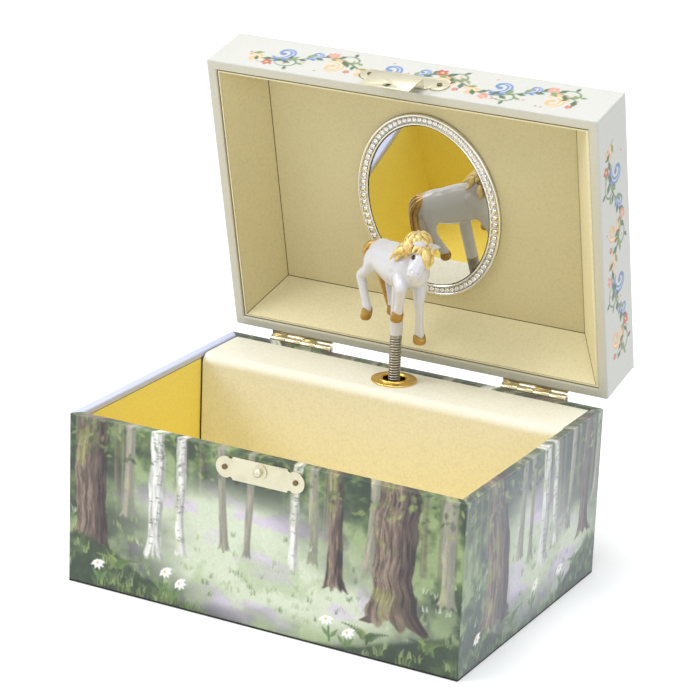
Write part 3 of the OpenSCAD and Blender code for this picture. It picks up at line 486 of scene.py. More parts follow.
def dressed(name, node, material, body, bevel, segments, slot):
    """Copy of a frame node with its doubles merged and its edges rounded, which stands for the node."""
    piece = nodes[node].copy()
    piece.data = nodes[node].data.copy()
    for key in list(piece.keys()):
        del piece[key]
    piece.parent = None
    piece.matrix_world = Matrix.Identity(4)
    piece.name = piece.data.name = name
    bpy.context.collection.objects.link(piece)
    sealed(piece, FLAT_ANGLE)
    apply_modifier(piece, "BEVEL", width=bevel * MM, segments=segments, limit_method="ANGLE",
                   angle_limit=BEVEL_ANGLE, use_clamp_overlap=True, harden_normals=False)
    piece.data.polygons.foreach_set("use_smooth", np.ones(len(piece.data.polygons), bool))
    piece.data.set_sharp_from_angle(angle=SHARP_ANGLE)
    piece.data.materials.clear()
    piece.data.materials.append(material)
    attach(piece, body)
    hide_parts(node)


# ---------- painting ----------


def soft_step(low, high, value):
    """0 below low, 1 above high, and 3t^2 - 2t^3 between."""
    t = np.clip((value - low) / (high - low), 0, 1)
    return t * t * (3 - 2 * t)


def lattice_noise(x, y, size, seed, octaves=4, gain=0.55):
    """Smooth noise from 0 to 1: random lattice values, blended between, in octaves of halving size."""
    rng = np.random.default_rng(seed)
    total, weight, strength = 0, 0, 1.0
    for octave in range(octaves):
        table = rng.random((64, 64))
        u, v = x / size * 2**octave + 7.3 * octave, y / size * 2**octave + 3.1 * octave
        iu, iv = np.floor(u).astype(int), np.floor(v).astype(int)
        fu, fv = u - iu, v - iv
        fu, fv = fu * fu * (3 - 2 * fu), fv * fv * (3 - 2 * fv)
        a, b = table[iv % 64, iu % 64], table[iv % 64, (iu + 1) % 64]
        c, d = table[(iv + 1) % 64, iu % 64], table[(iv + 1) % 64, (iu + 1) % 64]
        total = total + strength * ((a * (1 - fu) + b * fu) * (1 - fv) + (c * (1 - fu) + d * fu) * fv)
        weight += strength
        strength *= gain
    return total / weight


class Canvas:
    """Painted sheet: a colour at each point of a grid of x (right) and y (up), in millimetres."""

    def __init__(self, x, y, colour):
        self.x, self.y = np.meshgrid(x, y)
        self.rgb = np.broadcast_to(np.asarray(colour, float), (*self.x.shape, 3)).copy()

    def cover(self, mask, colour, at=...):
        """Lays a colour over the sheet, or over a part of it, where the mask is above 0."""
        self.rgb[at] += mask[..., None] * (np.asarray(colour) - self.rgb[at])

    def window(self, low_x, high_x, low_y, high_y):
        """Row and column slices that hold a rectangle."""
        xs, ys = self.x[0], self.y[:, 0]
        columns = slice(np.searchsorted(xs, low_x), np.searchsorted(xs, high_x) + 1)
        rows = slice(np.searchsorted(ys, low_y), np.searchsorted(ys, high_y) + 1)
        return rows, columns

    def stroke(self, points, widths, colour, soft=0.35, strength=1.0):
        """Brush stroke: half the line's width at the nearest place on it, less the distance to that place."""
        points = np.asarray(points, float)
        widths = np.interp(np.linspace(0, 1, len(points)), np.linspace(0, 1, len(np.atleast_1d(widths))),
                           np.atleast_1d(widths))
        margin = widths.max() + 1
        low, high = points.min(0) - margin, points.max(0) + margin
        at = self.window(low[0], high[0], low[1], high[1])
        x, y = self.x[at], self.y[at]
        if x.size == 0:
            return
        edge = np.full(x.shape, -9.0)
        for (ax, ay), (bx, by), wa, wb in zip(points[:-1], points[1:], widths[:-1], widths[1:]):
            dx, dy = bx - ax, by - ay
            t = np.clip(((x - ax) * dx + (y - ay) * dy) / (dx * dx + dy * dy + 1e-9), 0, 1)
            gap = np.hypot(x - ax - t * dx, y - ay - t * dy)
            edge = np.maximum(edge, (wa + (wb - wa) * t) / 2 - gap)
        self.cover(soft_step(-soft, soft, edge) * strength, colour, at)

    def dab(self, cx, cy, rx, ry, angle, colour, soft=0.3, strength=1.0, pointed=0.0):
        """Oval dab, or a leaf where pointed is above 0: the long axis narrows to both ends."""
        reach = max(rx, ry) + 1
        at = self.window(cx - reach, cx + reach, cy - reach, cy + reach)
        x, y = self.x[at] - cx, self.y[at] - cy
        if x.size == 0:
            return
        u, v = x * np.cos(angle) + y * np.sin(angle), y * np.cos(angle) - x * np.sin(angle)
        narrow = 1 - pointed * np.clip(np.abs(u) / rx, 0, 1)
        gap = (1 - np.hypot(u / rx, v / (ry * np.maximum(narrow, 0.05)))) * min(rx, ry)
        self.cover(soft_step(-soft, soft, gap) * strength, colour, at)


def trunk_wander(y, width, seed):
    """How far a trunk's middle strays sideways at each height."""
    return (lattice_noise(np.ones_like(y), y, 26, seed, 3) - 0.5) * width * 0.8


def tree_trunk(sheet, foot_x, foot_y, width, lean, tone, seed, haze=0.0):
    """Trunk with a wavy middle line, a flared foot with roots, streaked bark and a lit left side."""
    x, y = sheet.x, sheet.y
    up = np.maximum(y - foot_y, 0)
    middle = foot_x + lean * (y - foot_y) + trunk_wander(y, width, seed)
    half = width / 2 * (1 + 0.6 * np.exp(-up / (width * 0.5)) + 0.08 * np.sin(y / 7 + seed))
    across = (x - middle) / half
    folds = width * 0.12 * np.sin(across * 9 + seed) * np.exp(-up / 4)
    ragged = (lattice_noise(x, y * 0.35, 1.6, seed + 1, 3) - 0.5) * width * 0.1
    mask = soft_step(-0.25, 0.3, half * (1 - np.abs(across)) + ragged)
    mask *= soft_step(-0.9, 0.7, y - foot_y + folds)
    streak = lattice_noise(across * width * 0.55 + seed, y * 0.14, 0.8, seed + 2, 3)
    crack = soft_step(0.56, 0.7, lattice_noise(across * width * 0.5 + 9, y * 0.09, 0.75, seed + 4, 2))
    moss = lattice_noise(x, y, 6, seed + 3, 4)
    round_light = np.clip(0.62 - 0.6 * across - 0.5 * across**2, 0, 1)
    light = 0.16 + 0.62 * round_light + 0.85 * (streak - 0.5) - 0.3 * crack
    dark, mid, lit = tone
    shade = np.clip(light, 0, 1)[..., None]
    colour = np.where(shade < 0.5, dark + (mid - dark) * shade * 2, mid + (lit - mid) * (shade * 2 - 1))
    green = (soft_step(0.5, 0.72, moss) * soft_step(0.5, -0.6, across))[..., None] * 0.55
    colour = colour + green * (paint(138, 142, 78) * (0.6 + shade) - colour)
    colour = colour + haze * (HAZE - colour)
    sheet.cover(mask, colour)


def birch(sheet, foot_x, foot_y, width, lean, seed):
    """Pale slender trunk, grey on its right, with short dark marks across it."""
    tree_trunk(sheet, foot_x, foot_y, width, lean, BIRCH, seed)
    rng = np.random.default_rng(seed)
    heights = np.linspace(0, 80, 400)
    wander = trunk_wander(heights, width, seed)
    for _ in range(26):
        y = rng.uniform(foot_y + 2, sheet.y.max())
        middle = foot_x + lean * (y - foot_y) + np.interp(y, heights, wander)
        x = middle + rng.uniform(-0.4, 0.3) * width
        sheet.stroke([(x, y), (x + rng.uniform(0.5, 1.6), y + rng.uniform(-0.2, 0.2))], [0.5, 0.15],
                     paint(84, 78, 74), 0.2, 0.7)


def leaf_cloud(sheet, count, low, high, colours, size, seed, strength=0.8):
    """Many small leaf dabs thrown over a rectangle, more of them where a soft noise is high."""
    rng = np.random.default_rng(seed)
    for _ in range(count):
        cx, cy = rng.uniform(low[0], high[0]), rng.uniform(low[1], high[1])
        if lattice_noise(np.array([cx]), np.array([cy]), 14, seed + 9, 2)[0] < rng.uniform(0.2, 0.6):
            continue
        r = size * rng.uniform(0.6, 1.5)
        sheet.dab(cx, cy, r, r * rng.uniform(0.4, 0.7), rng.uniform(0, np.pi),
                  colours[rng.integers(len(colours))], 0.3, strength * rng.uniform(0.5, 1), 0.5)


def grass(sheet, rng, count, where, blade, tones, strength):
    """Blades in small tufts. where(rng) gives the foot of a tuft, or None."""
    for _ in range(count):
        foot = where(rng)
        if foot is None:
            continue
        tone = tones[rng.integers(len(tones))]
        for _ in range(4):
            x, y = foot[0] + rng.normal(0, 0.7), foot[1] + rng.normal(0, 0.3)
            tall, lean = blade * rng.uniform(0.5, 1.2), rng.normal(0, 0.3)
            sheet.stroke([(x, y), (x + lean * tall * 0.3, y + tall * 0.6), (x + lean * tall, y + tall)],
                         [0.55, 0.4, 0.1], tone * rng.uniform(0.75, 1.2), 0.22, strength)


def fern(sheet, x, y, reach, lean, colour):
    """Fern frond: a bowed rib with pairs of leaflets that shorten to the tip."""
    t = np.linspace(0, 1, 12)
    rib = np.stack([x + lean * reach * t**1.6, y + reach * (t - 0.45 * t**2)], 1)
    sheet.stroke(rib, [0.7, 0.3], colour * 0.7, 0.25)
    for k in range(2, 12):
        along = rib[k] - rib[k - 1]
        angle = np.arctan2(along[1], along[0])
        leaf = reach * 0.2 * (1.15 - t[k])
        for side in (-1, 1):
            a = angle + side * 1.0
            tip = rib[k] + leaf * 0.5 * np.array([np.cos(a), np.sin(a)])
            tone = colour * (1.2 if side < 0 else 0.8)
            sheet.dab(*tip, leaf * 0.6, leaf * 0.2 + 0.16, a, tone, 0.22, 0.9, 0.6)


def lily(sheet, x, y, tall, lean):
    """White lily: a green stem with two leaves and a six-petalled bell that leans over."""
    top = np.array([x + lean * tall, y + tall])
    sheet.stroke([(x, y), (x + lean * tall * 0.3, y + tall * 0.6), top], [0.9, 0.6], LILY_STEM, 0.22)
    for side in (-1, 1):
        sheet.dab(x + side * 1.6, y + tall * 0.35, 2.4, 0.8, side * 0.9, LILY_LEAF, 0.22, 0.95, 0.7)
    for a in np.linspace(-2.4, 0.2, 5) + lean:
        tip = top + 2.2 * np.array([np.cos(a), np.sin(a)])
        sheet.dab(*((top + tip) / 2), 1.9, 0.85, a, paint(246, 244, 238), 0.22, 1, 0.55)
        sheet.stroke([top, (top + tip) / 2], [0.3, 0.1], paint(188, 186, 176), 0.15, 0.6)
    sheet.dab(*(top + (0, -0.6)), 0.5, 0.5, 0, paint(216, 178, 92), 0.2)


BARK = (paint(46, 38, 36), paint(98, 82, 72), paint(166, 146, 128))
BIRCH = (paint(150, 150, 146), paint(212, 212, 206), paint(244, 243, 236))
DEEP, MOSS, SAGE = paint(46, 62, 42), paint(86, 108, 62), paint(138, 156, 106)
HAZE, LILAC = paint(204, 212, 188), paint(206, 196, 210)
LILY_STEM, LILY_LEAF = paint(84, 112, 66), paint(98, 128, 76)
LEAVES = [paint(62, 84, 46), paint(86, 108, 58), paint(118, 136, 74), paint(48, 66, 38),
          paint(146, 158, 92)]


def ramp_colour(t, colours):
    """Colour at t from 0 to 1 along evenly spaced colours."""
    stops = np.linspace(0, 1, len(colours))
    return np.stack([np.interp(t, stops, [c[k] for c in colours]) for k in range(3)], -1)


def woodland(x, y, view):
    """Misty glade: dark foliage, pale mist over a path, far and near trunks, grassy banks, ferns, lilies."""
    seed, length, tall = view["seed"], x[-1], CASE_TOP
    rng = np.random.default_rng(seed)
    sheet = Canvas(x, y, MOSS)
    X, Y = sheet.x, sheet.y
    cloud, fine = lattice_noise(X, Y, 20, seed, 5), lattice_noise(X, Y, 4.5, seed + 1, 4)
    tone = 0.5 + 1.5 * (cloud - 0.5) + 0.9 * (fine - 0.5) - 0.28 * soft_step(tall * 0.5, tall * 0.95, Y)
    sheet.rgb = ramp_colour(tone, [DEEP * 0.8, DEEP, MOSS, SAGE, SAGE])
    for _ in range(16):
        tx, wide = rng.uniform(0, length), rng.uniform(0.9, 2.4)
        foot, lean = rng.uniform(tall * 0.5, tall * 0.66), rng.normal(0, 0.03)
        top = (tx + lean * 30, tall + 8)
        sheet.stroke([(tx, foot), top], [wide * 1.3, wide], paint(96, 82, 70), 0.5, 0.6)
        lit_side = [(tx - wide * 0.25, foot + 1), (top[0] - wide * 0.25, top[1])]
        sheet.stroke(lit_side, [wide * 0.3], SAGE, 0.4, 0.4)
    drift = lattice_noise(X * 0.45, Y, 7, seed + 2, 5)
    hue = lattice_noise(X * 0.6, Y * 1.5, 12, seed + 3, 3)
    pale = ramp_colour(soft_step(0.38, 0.64, hue), [HAZE, HAZE, LILAC])
    for gx, gy, rx, ry in view["mist"]:
        haze = np.exp(-(((X - gx) / rx) ** 2) - ((Y - gy) / ry) ** 2)
        sheet.cover(np.clip(1.5 * haze + 1.6 * haze * (drift - 0.5), 0, 0.93), pale)
    patches = soft_step(0.5, 0.72, lattice_noise(X, Y, 9, seed + 4, 4))
    sheet.cover(patches * soft_step(tall * 0.7, tall * 0.3, Y) * 0.5, paint(158, 176, 128))
    for tx, width, lean in view["far"]:
        tree_trunk(sheet, tx, tall * rng.uniform(0.4, 0.5), width, lean, BARK, seed + int(tx), 0.3)
    grass(sheet, rng, 170, lambda r: (r.uniform(0, length), r.uniform(tall * 0.12, tall * 0.56)), 1.7,
          [SAGE, MOSS, paint(158, 170, 118), HAZE * 0.9], 0.5)
    for tx, foot, width, lean in view["birches"]:
        birch(sheet, tx, foot, width, lean, seed + int(tx))
    for tx, foot, width, lean in view["trunks"]:
        for side in (-1, 1):
            reach = width * rng.uniform(0.55, 0.8)
            root = [(tx + side * width * 0.4, foot + 2.5), (tx + side * reach, foot + 0.2),
                    (tx + side * reach * 1.35, foot - 0.9)]
            sheet.stroke(root, [width * 0.3, width * 0.2, 0.4], BARK[1] * 0.8, 0.3)
        tree_trunk(sheet, tx, foot, width, lean, BARK, seed + int(tx))
    ground = np.full(X.shape, -9.0)
    for bx, height, spread in view["banks"]:
        edge = height * np.exp(-(((x - bx) / spread) ** 2))
        ground = np.maximum(ground, edge[None, :] + 2.2 * (fine - 0.5) - Y)
    shade = ramp_colour(0.5 + 1.4 * (fine - 0.5) + 0.5 * (cloud - 0.5), [DEEP * 0.85, DEEP, MOSS * 0.95])
    sheet.cover(soft_step(-0.9, 1.4, ground) * 0.94, shade)

    def on_bank(r):
        bx, height, spread = view["banks"][r.integers(len(view["banks"]))]
        gx = bx + r.normal(0, spread * 0.8)
        if not 0 < gx < length:
            return None
        return gx, height * np.exp(-(((gx - bx) / spread) ** 2)) * r.uniform(0.1, 1.02) - 0.5

    grass(sheet, rng, 150, on_bank, 3.0, [DEEP, MOSS, LEAVES[2], SAGE], 0.75)
    for fx, fy, reach in view["ferns"]:
        for lean in (-0.9, -0.35, 0.3, 0.85):
            fern(sheet, fx, fy, reach * rng.uniform(0.85, 1.15), lean, LEAVES[rng.integers(3)] * 1.1)
    for lx, ly, height, lean in view["lilies"]:
        lily(sheet, lx, ly, height, lean)
    leaf_cloud(sheet, 420, (0, tall * 0.8), (length, tall + 6), LEAVES, 1.2, seed + 6, 0.8)
    sheet.cover(np.full(X.shape, view["cool"]), paint(150, 160, 180))
    sheet.rgb *= (1.1 + 0.14 * lattice_noise(X, Y, 1.1, seed + 8, 3))[..., None]
    return sheet


VINE_GREEN, VINE_BLUE, VINE_PEACH = paint(88, 118, 76), paint(98, 128, 178), paint(222, 178, 122)
VINE_RED, VINE_PINK, VINE_YELLOW = paint(188, 92, 86), paint(222, 150, 142), paint(226, 196, 110)
VINE_LEAF, VINE_LEAF_PALE = paint(74, 104, 64), paint(128, 150, 92)
VINE_BEND = 22
VINE_SWING = 7.2
VINE_END = 12


def scroll(sheet, x, y, radius, turn, start, colour, width):
    """Leafy scroll: an open arc, thickest in its middle, that winds in to a small curl, with lobes outside.
    Its angle is start + turn * (3.4 t + 3.6 t^3) and its radius falls to a fifth of the first."""
    t = np.linspace(0, 1, 40)
    a, r = start + turn * (3.4 * t + 3.6 * t**3), radius * (1 - 0.8 * t**1.5)
    line = np.stack([x + r * np.cos(a), y + r * np.sin(a)], 1)
    sheet.stroke(line, [width * 0.2, width * 0.8, width, width * 0.6, width * 0.4], colour, 0.2)
    for k, size in ((6, 0.5), (11, 0.6), (16, 0.5)):
        out = line[k] + width * 0.5 * np.array([np.cos(a[k]), np.sin(a[k])])
        sheet.dab(*out, width * size * 1.3, width * size * 0.6, a[k] + turn * 1.0, colour * 0.92, 0.2)
    sheet.stroke(line[4:30], [width * 0.1, width * 0.3, width * 0.1], 1 - (1 - colour) * 0.4, 0.2, 0.8)
    sheet.dab(*line[-1], width * 0.42, width * 0.42, 0, colour, 0.2)


def blossom(sheet, x, y, radius, colour, petals=5):
    """Round-petalled flower with a yellow eye."""
    for a in np.arange(petals) * 2 * np.pi / petals + 0.3:
        cx, cy = x + radius * 0.6 * np.cos(a), y + radius * 0.6 * np.sin(a)
        sheet.dab(cx, cy, radius * 0.52, radius * 0.4, a, colour, 0.2)
        sheet.dab(cx, cy, radius * 0.25, radius * 0.15, a, colour * 0.72, 0.2, 0.6)
    sheet.dab(x, y, radius * 0.3, radius * 0.3, 0, VINE_YELLOW, 0.2)


def leaf(sheet, x, y, length, angle, colour):
    """Pointed leaf with a darker rib."""
    cx, cy = x + length / 2 * np.cos(angle), y + length / 2 * np.sin(angle)
    sheet.dab(cx, cy, length / 2, length * 0.26, angle, colour, 0.2, 1, 0.75)
    sheet.stroke([(x, y), (x + length * 0.8 * np.cos(angle), y + length * 0.8 * np.sin(angle))],
                 [0.25, 0.15], colour * 0.55, 0.15, 0.7)


def vine_band(sheet, start, end, middle, swing, seed):
    """Running vine: a long wave of stem, middle + 0.6 swing sin(pi t / wave), with leafy scrolls in each
    bend, in turn blue and peach, a curling tendril across it, leaves, small blossoms and berries."""
    rng = np.random.default_rng(seed)
    count = max(2, round((end - start) / VINE_BEND))
    wave = (end - start) / count
    t = np.linspace(start, end, 30 * count)
    stem = middle + 0.6 * swing * np.sin((t - start) / wave * np.pi)
    sheet.stroke(np.stack([t, stem], 1), [0.4, 0.95, 0.4], VINE_GREEN, 0.2)
    curl = np.linspace(0, 1, 26)
    for k in range(count):
        side = 1 if k % 2 == 0 else -1
        cx, crest = start + (k + 0.5) * wave, middle + side * swing * 0.6
        tone, other = (VINE_BLUE, VINE_PEACH) if k % 2 == 0 else (VINE_PEACH, VINE_BLUE)
        scroll(sheet, cx + wave * 0.1, middle - side * swing * 0.35, swing * 0.66, -side, side * 2.3,
               tone, 2.5)
        scroll(sheet, cx - wave * 0.34, middle + side * swing * 0.62, swing * 0.44, side, -side * 2.6,
               other, 1.8)
        angle, reach = side * (2.9 - 6.2 * curl), swing * 0.56 * (1 - 0.72 * curl)
        px, py = cx + wave * 0.3, middle + side * swing * 0.5
        tendril = np.stack([px + 1.25 * reach * np.cos(angle), py + reach * np.sin(angle)], 1)
        sheet.stroke(tendril, [0.3, 0.8, 0.4], VINE_GREEN, 0.2)
        for j in (6, 12, 18):
            leaf(sheet, *tendril[j], 3.2, angle[j] + rng.uniform(-0.7, 0.7),
                 VINE_LEAF if j % 4 else VINE_LEAF_PALE)
        for j in range(8):
            u = cx + (j - 3.5) / 8 * wave
            phase = (u - start) / wave * np.pi
            slope = np.arctan(0.6 * swing * np.pi / wave * np.cos(phase))
            turn = rng.uniform(0.5, 0.95) * (1 if j % 2 else -1)
            leaf(sheet, u, middle + 0.6 * swing * np.sin(phase), rng.uniform(3.4, 4.8), slope + turn,
                 VINE_LEAF if j % 3 else VINE_LEAF_PALE)
        blossom(sheet, cx - wave * 0.04, crest + side * 1.7, rng.uniform(1.9, 2.2),
                VINE_PINK if k % 3 else VINE_RED)
        if k % 2:
            blossom(sheet, cx + wave * 0.42, middle - side * swing * 0.6, 1.2, VINE_RED)
        for _ in range(4):
            turn = rng.uniform(0, 2 * np.pi)
            bx, by = cx + wave * 0.45 * np.cos(turn), middle + swing * np.sin(turn)
            sheet.dab(bx, by, 0.4, 0.4, 0, VINE_RED, 0.2)


# ---------- papers round the case and the lid ----------

CORNER = 0.7
INNER = 0.2
RIM_ROUND = 0.5
STEP = 0.37
TOP_STEP = 0.46
TOP_INSET = 0.05


def rim_profile(low, top):
    """Outline of a wrap in wall depth (0 outside) and height: up the outside, over a rounded rim, down the
    inside, then back up and down between paper and board."""
    up = np.arange(low, top - RIM_ROUND, STEP)
    a = np.linspace(0, np.pi / 2, 5)
    s, c = RIM_ROUND * np.sin(a), RIM_ROUND * np.cos(a)
    outer = np.stack([RIM_ROUND - c, top - RIM_ROUND + s], 1)
    inner = np.stack([RIM - RIM_ROUND + s, top - RIM_ROUND + c], 1)
    flat = np.stack([np.linspace(RIM_ROUND, RIM - RIM_ROUND, 8)[1:-1], np.full(6, top)], 1)
    down = np.stack([np.full(5, RIM), np.linspace(top - RIM_ROUND, top - TURN_IN, 6)[1:]], 1)
    face = np.concatenate([np.stack([up * 0, up], 1), outer, flat, inner, down])
    back = np.array([[RIM - PAPER, top - TURN_IN], [RIM - PAPER, top - PAPER],
                     [PAPER, top - PAPER], [PAPER, low]])
    return face, back


def wall_ring(half_long, half_short, depth, across):
    """Points of one wall for each wall depth: straight across, with half of a corner's quarter turn at each
    end. A corner's middle is set in by the depth and its radius."""
    radius = np.maximum(CORNER - depth, INNER)[:, None]
    middle = depth[:, None] + radius
    turn = np.clip(np.abs(across) - 1, 0, 1)[None, :] * np.pi / 4
    straight = np.clip(across, -1, 1)[None, :]
    x = straight * (half_long - middle) + np.sign(across)[None, :] * radius * np.sin(turn)
    y = -half_short + middle - radius * np.cos(turn)
    return x, y


def paper_wall(name, quarter, material, body, artwork, low, top, on_lid=False):
    """One wall's share of a wrap: the outline carried along the wall, painted, closed, and turned to its
    side. A lid's wall is a case's wall upside down, its rim at the bottom, and opened with the lid."""
    long_side, short_side = (WIDTH, DEPTH) if quarter % 2 == 0 else (DEPTH, WIDTH)
    face, back = rim_profile(low, top)
    outline = np.concatenate([face, back])
    count = int(long_side / STEP)
    across = np.concatenate([[-2, -1.66, -1.33], np.linspace(-1, 1, count), [1.33, 1.66, 2]])
    x, y = wall_ring(long_side / 2, short_side / 2, outline[:, 0], across)
    z = np.broadcast_to(outline[:, 1][:, None], x.shape)
    along = np.concatenate([[0], np.cumsum(np.hypot(*np.diff(face, axis=0).T))])
    sheet = artwork(x[0] + long_side / 2, along + (0 if on_lid else low))
    colours = np.concatenate([sheet.rgb, np.repeat(sheet.rgb[-1:], len(back), 0)])
    turn = quarter * np.pi / 2
    points = np.stack([x * np.cos(turn) - y * np.sin(turn), x * np.sin(turn) + y * np.cos(turn), z], -1)
    rows, columns = x.shape
    faces = grid_faces(rows, columns, wrap_rows=True)
    start, end = np.arange(rows) * columns, np.arange(rows) * columns + columns - 1
    ends = [start[::-1], end]
    if on_lid:
        points[..., 2] = top + low - points[..., 2]
        points = opened(points)
        faces, ends = faces[:, ::-1], [start, end[::-1]]
    piece = mesh_piece(name, points, faces, material, [e.tolist() for e in ends], colours)
    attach(piece, body)
    return piece


GLADES = [
    {"seed": 11, "cool": 0.04, "mist": [(74, 22, 33, 17), (58, 36, 24, 8), (100, 15, 26, 8)],
     "trunks": [(9, 14, 12, 0.02), (106, 22, 5.5, -0.05), (128, 14, 15, 0.03)],
     "birches": [(34, 17, 5.5, 0.05), (46, 20, 3.6, -0.04), (89, 25, 3.4, 0.05)],
     "far": [(24, 4, 0.02), (62, 3, -0.03), (72, 2.6, 0.03), (97, 3.4, -0.02), (118, 4, 0.02), (146, 5, 0)],
     "banks": [(4, 19, 30), (148, 13, 30), (30, 9, 16)], "ferns": [(20, 8, 9), (118, 5, 9), (140, 7, 8)],
     "lilies": [(38, 4, 9, 0.15), (43, 3, 7, 0.3), (104, 3, 8, -0.2), (110, 2, 6, 0.1), (13, 3, 7, -0.15)]},
    {"seed": 23, "cool": 0.2, "mist": [(52, 28, 20, 18), (88, 18, 16, 12)],
     "trunks": [(24, 11, 15, 0.03), (97, 20, 7, 0.02)], "birches": [(62, 20, 6, 0.03), (72, 24, 3.6, -0.05)],
     "far": [(44, 4, 0.02), (52, 3, -0.02), (84, 3.4, 0.03), (106, 4, 0)],
     "banks": [(8, 13, 26), (104, 16, 24)], "ferns": [(40, 5, 9), (92, 9, 8)],
     "lilies": [(56, 5, 9, 0.2), (12, 4, 7, 0.1), (80, 6, 7, -0.25)]},
    {"seed": 37, "cool": 0.08, "mist": [(76, 26, 30, 20), (122, 16, 16, 12)],
     "trunks": [(18, 12, 12, 0.02), (104, 14, 14, 0.03)],
     "birches": [(46, 18, 5.5, -0.04), (134, 20, 5, -0.02)],
     "far": [(32, 3, 0.02), (60, 4, -0.03), (80, 3, 0.03), (90, 3, 0), (120, 4, -0.02)],
     "banks": [(6, 15, 28), (146, 14, 30)], "ferns": [(30, 6, 9), (116, 6, 9), (140, 9, 8)],
     "lilies": [(54, 5, 8, 0.15), (128, 4, 8, -0.2)]},
    {"seed": 51, "cool": 0.16, "mist": [(60, 26, 24, 18), (28, 34, 14, 12)],
     "trunks": [(12, 13, 10, 0.02), (90, 13, 13, -0.03)], "birches": [(42, 20, 5, 0.03), (70, 22, 4, -0.04)],
     "far": [(26, 4, 0.01), (54, 3, -0.02), (78, 3.6, 0.02)],
     "banks": [(6, 15, 24), (104, 15, 24)], "ferns": [(26, 7, 8), (80, 6, 9)],
     "lilies": [(50, 5, 8, 0.15), (98, 5, 7, -0.2)]},
]
SIDES = ["front", "right", "back", "left"]


def glade(side):
    """Painting of one case wall. The left wall's paper is plain lavender where it folds over the rim."""
    def artwork(x, y):
        sheet = woodland(x, y, GLADES[side])
        if SIDES[side] == "left":
            sheet.cover(soft_step(CASE_TOP - 0.9, CASE_TOP - 0.5, sheet.y), paint(200, 206, 238))
        return sheet
    return artwork


def lid_side(side):
    """Vine band along a lid wall, on ivory; the painting runs down from the lid's top edge to its rim."""
    def artwork(x, y):
        sheet = Canvas(x, y, IVORY)
        vine_band(sheet, VINE_END, x[-1] - VINE_END, LID_HEIGHT * 0.5, VINE_SWING, 70 + side)
        edge = soft_step(LID_HEIGHT - 0.6, LID_HEIGHT + 0.6, sheet.y)
        sheet.cover(edge * 0.75, paint(206, 202, 180))
        return sheet
    return artwork


case_papers = [
    paper_wall("case_paper_" + SIDES[k], k, woodland_paper, "base", glade(k), CASE_LOW, CASE_TOP)
    for k in range(4)
]
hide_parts("base_wrap")


lid_papers = [
    paper_wall("lid_paper_" + SIDES[k], k, vine_paper, "lid", lid_side(k), LID_LOW, LID_TOP - PAPER, True)
    for k in range(4)
]


def lid_top():
    """Flat painted sheet over the lid's top, a box as thick as the paper and set in a little at its edges."""
    x = np.arange(0, WIDTH + STEP / 2, TOP_STEP)
    y = np.arange(0, DEPTH + STEP / 2, TOP_STEP)
    x, y = (v * (size - 2 * TOP_INSET) / v[-1] + TOP_INSET for v, size in ((x, WIDTH), (y, DEPTH)))
    sheet = Canvas(x, y, IVORY)
    for middle, seed in ((13, 91), (DEPTH - 13, 92)):
        vine_band(sheet, VINE_END, WIDTH - VINE_END, middle, VINE_SWING, seed)
    cx, cy = WIDTH / 2, DEPTH / 2
    for k in range(12):
        a = k * np.pi / 6
        px, py = cx + 21 * np.cos(a), cy + 15 * np.sin(a)
        scroll(sheet, px, py, 4.4, 1 if k % 2 else -1, a, VINE_BLUE if k % 2 else VINE_PEACH, 1.1)
        leaf(sheet, px, py, 3.2, a + 0.7, paint(96, 130, 84))
        leaf(sheet, px, py, 3.2, a - 0.7, paint(140, 160, 106))
        blossom(sheet, cx + 13 * np.cos(a + 0.26), cy + 9 * np.sin(a + 0.26), 1.8,
                VINE_RED if k % 2 else VINE_PINK)
    t = np.linspace(0, 2 * np.pi, 80)
    sheet.stroke(np.stack([cx + 17 * np.cos(t), cy + 12 * np.sin(t)], 1), [0.7], VINE_GREEN, 0.2)
    blossom(sheet, cx, cy, 4.2, VINE_PINK, 6)
    rows, columns = sheet.x.shape
    px, py = sheet.x - WIDTH / 2, sheet.y - DEPTH / 2
    top = np.stack([px, py, np.full(px.shape, LID_TOP)], -1)
    border = np.concatenate([np.arange(columns), np.arange(1, rows) * columns + columns - 1,
                             (rows - 1) * columns + np.arange(columns - 2, -1, -1),
                             np.arange(rows - 2, 0, -1) * columns])
    flat = top.reshape(-1, 3)
    rim = flat[border] - (0, 0, PAPER)
    start = len(flat)
    ring = np.arange(len(border))
    side = np.stack([border, start + ring, start + np.roll(ring, -1), np.roll(border, -1)], 1)
    faces = np.concatenate([grid_faces(rows, columns), side])
    colours = sheet.rgb.reshape(-1, 3)
    colours = np.concatenate([colours, colours[border]])
    piece = mesh_piece("lid_paper_top", opened(np.concatenate([flat, rim])), faces, vine_paper,
                       [(start + ring)[::-1].tolist()], colours)
    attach(piece, "lid")
    return piece


lid_papers.append(lid_top())
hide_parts("lid_wrap")

# ---------- frame nodes that keep their shape ----------

PLAIN = {
    board_wood: ["floor_board", "front_board", "back_board", "left_board", "right_board", "cover_ledges",
                 "lid_top_board", "lid_front_board", "lid_back_board", "lid_left_board", "lid_right_board"],
    well_paper: ["base_lining"],
    black_card: ["bottom_sheet"],
    cream_card: ["movement_cover"],
    crease_shade: ["lid_liner"],
    steel: ["hinge_pins", "movement_screws", "comb", "comb_screws", "winding_arbor", "cylinder_arbor",
            "governor_arbor", "worm_shaft", "stop_wire", "spring_collar", "mainspring"],
    brass: ["spring_housing", "great_wheel", "tune_cylinder", "cylinder_pinion", "cylinder_gear", "fan"],
    cast_frame: ["bedplate", "lower_bridge", "upper_bridge", "governor_bracket"],
    nylon: ["governor_wheel"],
    white_resin: ["figure_peg"],
    gold_ring: ["grommet"],
    mirror_face: ["mirror_glass"],
}
for material, names in PLAIN.items():
    for name in names:
        node_materials = nodes[name].data.materials
        node_materials.clear()
        node_materials.append(material)

